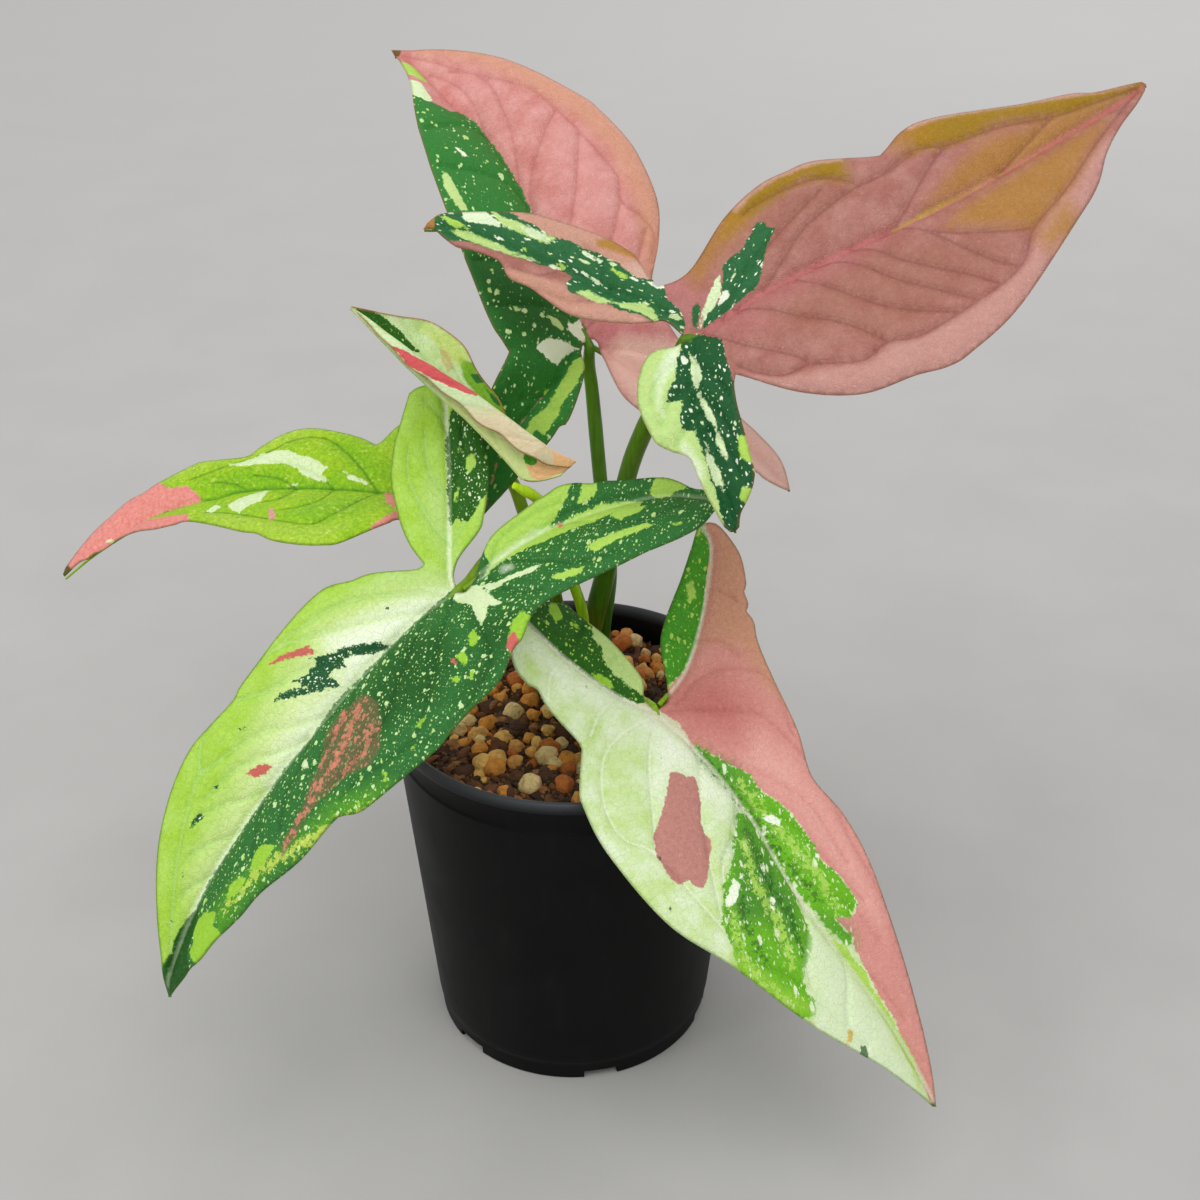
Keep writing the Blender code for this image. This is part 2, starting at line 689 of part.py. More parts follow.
def main():
    clearScene()
    addPot()
    soil = addSoil()
    for name, stalk in stalks.items():
        addStalk(name, stalk)
        addHole(soil, name + "_hole", *stalk["path"][0][:2], stalk["radii"][0])
    addMainStem()
    addHole(soil, "main_stem_hole", *mainStem["foot"], mainStem["radius"])
    openBlade("blade_back", "leaf_pink")
    openBlade("blade_right", "leaf_pink")
    openBlade("blade_front_left", "leaf_lime")
    openBlade("blade_front_right", "leaf_lime")
    openBlade("blade_far_left", "leaf_lime")
    rolledBlade("blade_new", "leaf_lime")


main()
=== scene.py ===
# A potted arrowhead plant with variegated leaves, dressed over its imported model.
# Lengths in the settings are millimetres on the object, and every mesh is in metres in the model's frame.
import math

import bmesh
import bpy
import numpy as np
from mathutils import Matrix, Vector, noise
from mathutils.geometry import delaunay_2d_cdt


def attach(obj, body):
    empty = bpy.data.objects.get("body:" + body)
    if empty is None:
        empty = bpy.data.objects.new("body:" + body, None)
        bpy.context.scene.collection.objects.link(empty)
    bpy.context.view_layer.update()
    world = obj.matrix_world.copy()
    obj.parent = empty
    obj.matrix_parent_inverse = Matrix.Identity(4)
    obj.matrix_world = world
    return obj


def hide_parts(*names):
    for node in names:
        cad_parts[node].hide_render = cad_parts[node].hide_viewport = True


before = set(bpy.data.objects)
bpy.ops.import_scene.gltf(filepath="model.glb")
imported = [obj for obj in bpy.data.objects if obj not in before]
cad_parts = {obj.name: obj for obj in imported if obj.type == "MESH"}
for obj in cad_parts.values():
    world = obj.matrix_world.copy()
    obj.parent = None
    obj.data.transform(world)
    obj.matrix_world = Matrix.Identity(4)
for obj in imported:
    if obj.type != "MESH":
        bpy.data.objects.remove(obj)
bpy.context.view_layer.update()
mm = 0.001
print("stage: model loaded")


def setInput(tree, socket, value):
    if isinstance(value, bpy.types.NodeSocket):
        tree.links.new(value, socket)
    else:
        socket.default_value = value


def addNode(tree, kind, values=None, **settings):
    node = tree.nodes.new(kind)
    for key, value in settings.items():
        setattr(node, key, value)
    for key, value in (values or {}).items():
        setInput(tree, node.inputs[key], value)
    return node


def newGroup(name, kind, inputs, outputs):
    # each input has its default number, or else the type of its socket, as each output has
    group = bpy.data.node_groups.new(name, kind)
    for side, sockets in (("INPUT", inputs), ("OUTPUT", outputs)):
        for label, given in sockets.items():
            typed = given if isinstance(given, str) else {int: "Int", float: "Float"}[type(given)]
            made = group.interface.new_socket(label, in_out=side, socket_type="NodeSocket" + typed)
            if typed != given:
                made.default_value = given
    return group, group.nodes.new("NodeGroupInput").outputs, group.nodes.new("NodeGroupOutput")


def closeGroup(group, end, values):
    for label, socket in values.items():
        group.links.new(socket, end.inputs[label])
    return group


def useGroup(tree, group, values):
    node = tree.nodes.new("ShaderNodeGroup")
    node.node_tree = group
    for key, value in values.items():
        setInput(tree, node.inputs[key], value)
    return node.outputs


def linear(colour):
    # a colour as seen on a screen, 0 to 255, turned into linear light
    return tuple(c / 255 / 12.92 if c < 10.3 else ((c / 255 + 0.055) / 1.055) ** 2.4 for c in colour) + (1,)


def shaded(colour, factor, lift=0):
    return [min(255, c * factor + lift) for c in colour]


def plainMesh(name, points, faces=(), edges=()):
    mesh = bpy.data.meshes.new(name)
    places = [[float(c) * mm for c in p] for p in points]
    mesh.from_pydata(places, edges, [tuple(int(i) for i in f) for f in faces])
    mesh.validate()
    obj = bpy.data.objects.new(name, mesh)
    bpy.context.scene.collection.objects.link(obj)
    return obj


def outwards(obj):
    work = bmesh.new()
    work.from_mesh(obj.data)
    bmesh.ops.recalc_face_normals(work, faces=work.faces)
    work.to_mesh(obj.data)
    work.free()


def smooth(obj):
    obj.data.polygons.foreach_set("use_smooth", [True] * len(obj.data.polygons))


def grownBy(source, tree, values, name):
    # runs a geometry tree on an object and keeps the result as a plain mesh
    modifier = source.modifiers.new("grow", "NODES")
    modifier.node_group = tree
    for item in tree.interface.items_tree:
        if item.item_type == "SOCKET" and item.in_out == "INPUT" and item.name in values:
            modifier[item.identifier] = values[item.name]
    graph = bpy.context.evaluated_depsgraph_get()
    mesh = bpy.data.meshes.new_from_object(source.evaluated_get(graph), depsgraph=graph)
    made = bpy.data.objects.new(name, mesh)
    mesh.name = name
    bpy.context.scene.collection.objects.link(made)
    source.modifiers.remove(modifier)
    bpy.data.objects.remove(source, do_unlink=True)
    outwards(made)
    smooth(made)
    return made


def giveFloats(obj, name, values):
    layer = obj.data.attributes.new(name, "FLOAT", "POINT")
    layer.data.foreach_set("value", np.asarray(values, np.float32))


paints = {
    "rose": (196, 122, 114), "rosePale": (216, 152, 146), "duskyRose": (158, 100, 90), "duskyPale": (174, 122, 112),
    "rosePink": (184, 108, 112), "roseDeep": (216, 118, 126), "roseLight": (198, 150, 140),
    "roseTan": (192, 142, 122), "umberRose": (150, 98, 78), "roseCoral": (226, 138, 128), "earTan": (206, 166, 148),
    "olive": (150, 116, 4), "oliveTan": (164, 118, 34), "tipBrown": (96, 76, 28), "pinkPatch": (186, 128, 118),
    "coral": (204, 100, 92), "coralDeep": (216, 90, 92), "coralSpeck": (220, 130, 110), "brownRed": (194, 98, 86),
    "brownRedDull": (106, 96, 62), "cream": (214, 234, 180), "paleCream": (216, 234, 168), "white": (238, 248, 222),
    "whiteGreen": (238, 247, 222), "paleGreen": (184, 216, 130), "limePale": (170, 212, 88), "lime": (150, 200, 56),
    "limeDeep": (92, 164, 14), "limeYellow": (196, 216, 88), "leafLime": (158, 202, 56),
    "greenBright": (66, 148, 30), "leafGreen": (42, 108, 44), "darkGreen": (24, 84, 42), "deepGreen": (22, 78, 14),
    "stemGreen": (96, 140, 30), "ochreSpot": (210, 170, 40), "speck": (196, 228, 156), "foldTan": (234, 208, 172),
    "keelCream": (222, 234, 150), "orangeTan": (246, 190, 136), "marginTan": (206, 148, 118),
    # Also painted light on the next line: the back leaf's real cream patches are pushed to near white, to cancel the
    # shade over that part of the leaf
    # Painted light on the next line: the ear pink is very light so that it cancels the shade the leaves in front cast
    # on the back leaf's lower ear
    "earLight": (255, 206, 190), "creamLight": (242, 252, 216), "mist": (220, 238, 194),
    "mistLime": (190, 220, 136), "blushLow": (232, 170, 160), "blushTan": (204, 148, 116),
    "blushDeep": (178, 98, 92), "midGreen": (60, 122, 44), "limeGreen": (104, 176, 28), "farLime": (134, 186, 10),
    "farYellow": (180, 208, 40), "gold": (172, 156, 34), "farTan": (202, 178, 104), "earGreen": (38, 100, 54),
    "earDark": (36, 94, 12), "backGreen": (46, 122, 46), "blushMid": (212, 142, 132), "farGreen": (120, 172, 40),
}


def newMaterial(name):
    made = bpy.data.materials.new(name)
    made.use_nodes = True
    return made, made.node_tree, made.node_tree.nodes["Principled BSDF"]


def finish(tree, shader, colour, rough, specular=0.5):
    for key, value in (("Base Color", colour), ("Roughness", rough), ("Specular IOR Level", specular)):
        setInput(tree, shader.inputs[key], value)


def mixColour(tree, amount, under, over):
    # a colour is a socket, a paint's name or a screen colour
    mix = addNode(tree, "ShaderNodeMix", {0: amount}, data_type="RGBA")
    for socket, value in ((mix.inputs[6], under), (mix.inputs[7], over)):
        if isinstance(value, str):
            value = paints[value]
        setInput(tree, socket, value if isinstance(value, bpy.types.NodeSocket) else linear(value))
    return mix.outputs[2]


def maths(tree, operation, a, b, clamp=False):
    return addNode(tree, "ShaderNodeMath", {0: a, 1: b}, operation=operation, use_clamp=clamp).outputs[0]


def plus(tree, a, b):
    return maths(tree, "ADD", a, b)


def minus(tree, a, b):
    return maths(tree, "SUBTRACT", a, b)


def times(tree, a, b):
    return maths(tree, "MULTIPLY", a, b)


def vectorMaths(tree, operation, a, b):
    second = "Scale" if operation == "SCALE" else 1
    return addNode(tree, "ShaderNodeVectorMath", {0: a, second: b}, operation=operation).outputs[0]


def spun(tree, place, angle):
    values = {"Vector": place, "Angle": angle}
    return addNode(tree, "ShaderNodeVectorRotate", values, rotation_type="Z_AXIS").outputs[0]


def joined(tree, x, y, z):
    return addNode(tree, "ShaderNodeCombineXYZ", {"X": x, "Y": y, "Z": z}).outputs[0]


def ramp(tree, value, low, high, first=0.0, last=1.0):
    values = {"Value": value, "From Min": low, "From Max": high, "To Min": first, "To Max": last}
    return addNode(tree, "ShaderNodeMapRange", values).outputs[0]


def noisy(tree, place, scale, detail=2.0, roughness=0.5):
    values = {"Vector": place, "Scale": scale, "Detail": detail, "Roughness": roughness}
    return addNode(tree, "ShaderNodeTexNoise", values).outputs


def cells(tree, place, scale, **settings):
    return addNode(tree, "ShaderNodeTexVoronoi", {"Vector": place, "Scale": scale}, **settings).outputs


def stretched(tree, place, scale):
    return addNode(tree, "ShaderNodeMapping", {"Vector": place, "Scale": scale}).outputs[0]


def objectPlace(tree):
    return addNode(tree, "ShaderNodeTexCoord").outputs["Object"]


def leafPlace(tree):
    # the flat leaf's millimetres, from the UV map that holds them
    flat = addNode(tree, "ShaderNodeUVMap", uv_map="leaf").outputs[0]
    return vectorMaths(tree, "SCALE", flat, leafPerMap)


def part(tree, place, axis):
    return addNode(tree, "ShaderNodeSeparateXYZ", {"Vector": place}).outputs[axis]


def attribute(tree, name):
    return addNode(tree, "ShaderNodeAttribute", attribute_name=name).outputs["Fac"]


def bump(tree, shader, height, distance, strength):
    node = addNode(tree, "ShaderNodeBump", {"Height": height, "Distance": distance, "Strength": strength})
    tree.links.new(node.outputs[0], shader.inputs["Normal"])


# Flecks come in two sizes: each has its factor on the cells, its largest radius and its share of the cover.
fleckSettings = {
    "bend": 1.4, "ragged": 0.7, "drift": 1.1, "smallest": 0.36, "sharp": 11.0,
    "sizes": [(1.0, 0.42, 0.55), (2.1, 0.36, 0.7)],
}
edgeSettings = {"scale": 0.55, "reach": 3.5}
skinSettings = {
    "bend": 2.4, "line": 0.06, "finer": 2.1, "finerLine": 0.10, "finerTone": 0.45, "sunk": -1.3, "swell": 0.8,
}
halfGrey = (0.5, 0.5, 0.5)


def buildFlecks():
    # round or drawn-out specks: each cell of a Voronoi pattern may hold one, of its own size
    look = fleckSettings
    group, given, end = newGroup("leafFlecks", "ShaderNodeTree", {
        "Place": "Vector", "Angle": 0.0, "Stretch": 1.0, "Size": 2.0, "Cover": 0.5}, {"Mask": "Float", "Tone": "Float"})
    turned = spun(group, given["Place"], given["Angle"])
    bent = vectorMaths(group, "SUBTRACT", noisy(group, turned, 0.6)["Color"], halfGrey)
    moved = vectorMaths(group, "ADD", turned, vectorMaths(group, "SCALE", bent, look["bend"]))
    ragged = vectorMaths(group, "SCALE", noisy(group, turned, 2.2, 3.0)["Color"], look["ragged"])
    moved = vectorMaths(group, "ADD", moved, ragged)
    drift = minus(group, noisy(group, given["Place"], 0.09, 3.0)["Fac"], 0.5)
    cover = plus(group, given["Cover"], times(group, drift, look["drift"]))
    squeeze = joined(group, maths(group, "DIVIDE", 1.0, given["Stretch"]), 1.0, 1.0)
    place = vectorMaths(group, "MULTIPLY", moved, squeeze)
    scale = maths(group, "DIVIDE", 1.0, given["Size"])
    masks, tones = [], []
    for factor, reach, share in look["sizes"]:
        spots = cells(group, place, times(group, scale, factor), voronoi_dimensions="2D")
        chance = addNode(group, "ShaderNodeSeparateColor", {"Color": spots["Color"]}).outputs
        there = maths(group, "LESS_THAN", chance["Red"], times(group, cover, share))
        large = ramp(group, maths(group, "POWER", chance["Green"], 3.0), 0.0, 1.0, look["smallest"], 1.0)
        radius = times(group, times(group, there, large), reach)
        masks.append(maths(group, "MULTIPLY", minus(group, radius, spots["Distance"]), look["sharp"], True))
        tones.append(chance["Blue"])
    return closeGroup(group, end, {"Mask": maths(group, "MAXIMUM", *masks), "Tone": times(group, *tones)})


def buildEdge():
    # a painted patch's mask from its signed distance, with a ragged or soft border
    group, given, end = newGroup("patchEdge", "ShaderNodeTree", {
        "Distance": 0.0, "Place": "Vector", "Wobble": 0.5, "Soft": 0.5}, {"Mask": "Float"})
    coarse = noisy(group, given["Place"], edgeSettings["scale"], 6.0, 0.72)["Fac"]
    shift = times(group, times(group, minus(group, coarse, 0.5), given["Wobble"]), edgeSettings["reach"])
    share = maths(group, "DIVIDE", plus(group, given["Distance"], shift), given["Soft"])
    return closeGroup(group, end, {"Mask": maths(group, "ADD", share, 0.5, True)})


def buildSkin():
    # the fine net of veinlets and the grain of a leaf's skin
    look = skinSettings
    group, given, end = newGroup("leafSkin", "ShaderNodeTree", {"Place": "Vector", "Mesh Size": 2.4}, {
        "Net": "Float", "Grain": "Float", "Cloud": "Float", "Mottle": "Float", "Height": "Float"})
    place = given["Place"]
    bent = vectorMaths(group, "SCALE", noisy(group, place, 0.35, 3.0)["Color"], look["bend"])
    moved = vectorMaths(group, "ADD", place, bent)
    size = maths(group, "DIVIDE", 1.0, given["Mesh Size"])
    flat = {"voronoi_dimensions": "2D", "feature": "DISTANCE_TO_EDGE"}
    net = ramp(group, cells(group, moved, size, **flat)["Distance"], 0.0, look["line"], 1.0, 0.0)
    finer = cells(group, moved, times(group, size, look["finer"]), **flat)["Distance"]
    net = maths(group, "MAXIMUM", net, ramp(group, finer, 0.0, look["finerLine"], look["finerTone"], 0.0))
    grain = noisy(group, place, 3.2, 4.0, 0.6)["Fac"]
    mottle = noisy(group, moved, 0.75, 4.0, 0.6)["Fac"]
    height = plus(group, grain, times(group, net, look["sunk"]))
    height = plus(group, height, times(group, mottle, look["swell"]))
    cloud = noisy(group, place, 0.12, 5.0, 0.6)["Fac"]
    return closeGroup(group, end, {"Net": net, "Mottle": mottle, "Grain": grain, "Cloud": cloud, "Height": height})


leafPerMap = 100.0  # millimetres of flat leaf to one unit of its UV map
flecks, patchEdge, leafSkin = buildFlecks(), buildEdge(), buildSkin()


cameraSettings = {"place": (0.0099, -0.5097, 0.4756), "down": 31.05, "lens": 54.0, "sensor": 36.0}
lightSettings = {
    "sky": 0.70, "aim": (0, 0, 0.18),
    "lamps": {  # place, size and power, in metres and watts
        "keyLight": ((0.15, -0.75, 1.65), 1.4, 12.2),
        "fillLight": ((-1.1, -0.5, 1.1), 0.8, 5.0),
        "backLight": ((0.7, 1.6, 1.0), 1.2, 3.5),
    },
}
# far and depth are painted light: the floor's colour is raised by far over depth metres towards the back, making up for
# the lamps' light falling off with distance.
floorSettings = {
    "side": 4000, "front": -2500, "back": 6000, "tone": (179, 178, 176), "dim": -5, "far": 24, "depth": 1.7,
}


def addCamera():
    data = bpy.data.cameras.new("camera")
    data.lens, data.sensor_width = cameraSettings["lens"], cameraSettings["sensor"]
    obj = bpy.data.objects.new("camera", data)
    obj.location = cameraSettings["place"]
    obj.rotation_euler = (math.radians(90 - cameraSettings["down"]), 0, 0)
    bpy.context.scene.collection.objects.link(obj)
    bpy.context.scene.camera = obj


def addLamp(name, place, size, power):
    data = bpy.data.lights.new(name, "AREA")
    data.shape, data.size, data.energy = "DISK", size, power
    obj = bpy.data.objects.new(name, data)
    obj.location = place
    obj.rotation_euler = (Vector(lightSettings["aim"]) - Vector(place)).to_track_quat("-Z", "Y").to_euler()
    bpy.context.scene.collection.objects.link(obj)


def addFloor():
    look = floorSettings
    side, front, back = look["side"], look["front"], look["back"]
    floor = plainMesh("floor", [(-side, front, 0), (side, front, 0), (side, back, 0), (-side, back, 0)], [(0, 1, 2, 3)])
    made, tree, shader = newMaterial("paleFloor")
    place = objectPlace(tree)
    cloud = ramp(tree, noisy(tree, place, 14.0, 6.0)["Fac"], 0.35, 0.65)
    tone = mixColour(tree, cloud, shaded(look["tone"], 1, look["dim"]), look["tone"])
    # painted light: the floor is painted lighter towards the back, to make up for the lamps' light falling off there
    away = ramp(tree, part(tree, place, "Y"), 0.0, look["depth"])
    finish(tree, shader, mixColour(tree, away, tone, shaded(look["tone"], 1, look["far"])), 0.85)
    floor.data.materials.append(made)


def addStudio():
    world = bpy.data.worlds.new("studio")
    bpy.context.scene.world = world
    world.use_nodes = True
    sky = world.node_tree.nodes["Background"].inputs
    sky[0].default_value, sky[1].default_value = (1, 1, 1, 1), lightSettings["sky"]
    for name, lamp in lightSettings["lamps"].items():
        addLamp(name, *lamp)
    addFloor()
    bpy.context.scene.view_settings.view_transform = "Standard"


addCamera()
addStudio()
print("stage: camera and light")


potSettings = {
    "rimRadius": 62.5, "height": 131.5, "baseRadius": 49.2, "wall": 1.6, "floorThickness": 2.2, "lipDepth": 4.5,
    "lipOverhang": 1.6, "stepDrop": 13.0, "stepIn": 0.25, "lowRing": 8.0, "ringOut": 0.35, "turns": 160,
    "notches": 6, "firstNotch": -78.0, "notchWidth": 12.0, "notchHeight": 3.5, "notchDepth": 9.0,
    # the last colour here is a painted highlight, a lighter grey for the top of the rim
    "plastic": (8, 8, 9), "plasticPale": (15, 15, 16), "dust": (56, 53, 50), "paintedRimHighlight": (72, 75, 79),
}


def wallRadius(height):
    pot = potSettings
    top = pot["rimRadius"] - pot["lipOverhang"]
    return pot["baseRadius"] + (top - pot["baseRadius"]) * height / pot["height"]


def potProfile():
    # radius and height of each point from the foot's centre up the outside, over the rim and down the inside
    pot = potSettings
    rim, top, low, base = pot["rimRadius"], pot["height"], pot["lowRing"], pot["baseRadius"]
    lip, step, floor = top - pot["lipDepth"], top - pot["stepDrop"], pot["floorThickness"]
    out, back, wall = pot["ringOut"], pot["stepIn"], pot["wall"]

    def onWall(offset, *heights):
        return [(wallRadius(h) + offset, h) for h in heights]

    outer = [(0, 0), (base - 1.2, 0), (base - 0.5, 0.15)] + onWall(0, 0.5, 1.2, *np.linspace(3, low - 0.4, 4))
    outer += [(wallRadius(low) + 0.2, low), (wallRadius(low) + out, low + 0.5)]
    outer += onWall(out, *np.linspace(low + 3, step - 1.4, 12))
    outer += [(wallRadius(step) + 0.25, step - 0.9), (wallRadius(step) - 0.1, step - 0.4)]
    outer += onWall(-back, step, lip - 0.6)
    outer += [(wallRadius(lip) - 0.1, lip - 0.1), (rim - 0.7, lip + 0.15)]
    bead = [(rim - 0.25, lip + 0.5), (rim, lip + 1.2)]
    bead += [(rim - inwards, top - down) for inwards, down in (
        (0, 1.6), (0.1, 0.9), (0.5, 0.3), (1.1, 0.03), (1.8, 0.12), (2.5, 0.6), (3.0, 1.5), (3.4, 2.8))]
    inner = [(wallRadius(step) - wall - back, step - 2)] + onWall(-wall, *np.linspace(step - 8, floor + 1, 6))
    return outer + bead + inner + onWall(-wall - 0.8, floor) + [(0, floor)]


def dressedGroup(group, given, end, geometry, label):
    real = addNode(group, "GeometryNodeRealizeInstances", {"Geometry": geometry}).outputs[0]
    dressed = addNode(group, "GeometryNodeSetMaterial", {"Geometry": real, "Material": given["Finish"]}).outputs[0]
    return closeGroup(group, end, {label: dressed})


def potTree():
    # turns the profile's points round the Z axis and cuts the drain notches out of the foot
    group, given, end = newGroup("turnedPot", "GeometryNodeTree", {
        "Profile": "Geometry", "Turns": 160, "Notches": 6, "Notch Radius": 0.05, "Notch Depth": 0.009,
        "Notch Width": 0.012, "Notch Height": 0.007, "First Notch": 0.0, "Finish": "Material"}, {"Pot": "Geometry"})
    profile = given["Profile"]
    count = addNode(group, "GeometryNodeAttributeDomainSize", {"Geometry": profile}).outputs["Point Count"]
    grid = addNode(group, "GeometryNodeMeshGrid", {"Vertices X": plus(group, given["Turns"], 1), "Vertices Y": count})
    number = addNode(group, "GeometryNodeInputIndex").outputs[0]
    column = maths(group, "FLOOR", maths(group, "DIVIDE", plus(group, number, 0.5), count), 0)
    level = minus(group, number, times(group, column, count))
    place = addNode(group, "GeometryNodeInputPosition").outputs[0]
    drawn = addNode(group, "GeometryNodeSampleIndex", {"Geometry": profile, "Value": place, "Index": level},
                    data_type="FLOAT_VECTOR", domain="POINT").outputs[0]
    angle = maths(group, "DIVIDE", times(group, column, 2 * math.pi), given["Turns"])
    wound = spun(group, drawn, angle)
    turned = addNode(group, "GeometryNodeSetPosition", {"Geometry": grid.outputs[0], "Position": wound}).outputs[0]
    closed = addNode(group, "GeometryNodeMergeByDistance", {"Geometry": turned, "Distance": 1e-5}).outputs[0]
    spots = addNode(group, "GeometryNodeMeshCircle", {"Vertices": given["Notches"], "Radius": given["Notch Radius"]},
                    fill_type="NONE").outputs[0]
    block = joined(group, given["Notch Depth"], given["Notch Width"], given["Notch Height"])
    cube = addNode(group, "GeometryNodeMeshCube", {"Size": block}).outputs[0]
    facing = addNode(group, "FunctionNodeAlignRotationToVector", {"Vector": place}, axis="X", pivot_axis="Z").outputs[0]
    blocks = addNode(group, "GeometryNodeInstanceOnPoints", {"Points": spots, "Instance": cube, "Rotation": facing})
    real = addNode(group, "GeometryNodeRealizeInstances", {"Geometry": blocks.outputs[0]}).outputs[0]
    around = joined(group, 0.0, 0.0, given["First Notch"])
    cutters = addNode(group, "GeometryNodeTransform", {"Geometry": real, "Rotation": around}).outputs[0]
    body = addNode(group, "GeometryNodeMeshBoolean", {"Mesh 1": closed, "Mesh 2": cutters},
                   operation="DIFFERENCE", solver="EXACT").outputs[0]
    return dressedGroup(group, given, end, body, "Pot")


def potMaterial():
    pot = potSettings
    made, tree, shader = newMaterial("blackPotPlastic")
    place = objectPlace(tree)
    cloud = noisy(tree, place, 38.0, 5.0, 0.6)["Fac"]
    grain = noisy(tree, place, 1500.0, 3.0)["Fac"]
    streaks = noisy(tree, stretched(tree, place, (160, 160, 6)), 1.0, 4.0)["Fac"]
    tone = mixColour(tree, ramp(tree, cloud, 0.35, 0.7), pot["plastic"], pot["plasticPale"])
    dust = times(tree, ramp(tree, streaks, 0.52, 0.75), ramp(tree, cloud, 0.4, 0.8))
    tone = mixColour(tree, times(tree, dust, 0.25), tone, pot["dust"])
    high = part(tree, place, "Z")
    rim = ramp(tree, high, 0.1265, 0.1285)
    # painted highlight: the top of the rim is painted lighter grey, where the light catches it
    tone = mixColour(tree, ramp(tree, high, 0.1275, 0.1312, 0.0, 0.9), tone, pot["paintedRimHighlight"])
    rough = plus(tree, ramp(tree, cloud, 0.3, 0.7, 0.40, 0.52), times(tree, dust, 0.2))
    finish(tree, shader, tone, minus(tree, rough, times(tree, rim, 0.16)), 0.10)
    bump(tree, shader, plus(tree, times(tree, grain, 0.25), times(tree, streaks, 0.5)), 0.00012, 0.6)
    return made


def buildPot():
    pot = potSettings
    source = plainMesh("potProfile", [(r, 0, z) for r, z in potProfile()])
    obj = grownBy(source, potTree(), {
        "Turns": pot["turns"], "Notches": pot["notches"], "Notch Radius": pot["baseRadius"] * mm,
        "Notch Depth": pot["notchDepth"] * mm, "Notch Width": pot["notchWidth"] * mm,
        "Notch Height": 2 * pot["notchHeight"] * mm, "First Notch": math.radians(pot["firstNotch"]),
        "Finish": potMaterial(),
    }, "nurseryPot")
    obj.data.set_sharp_from_angle(angle=math.radians(40))
    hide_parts("pot")
    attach(obj, "root")


buildPot()
print("stage: pot")


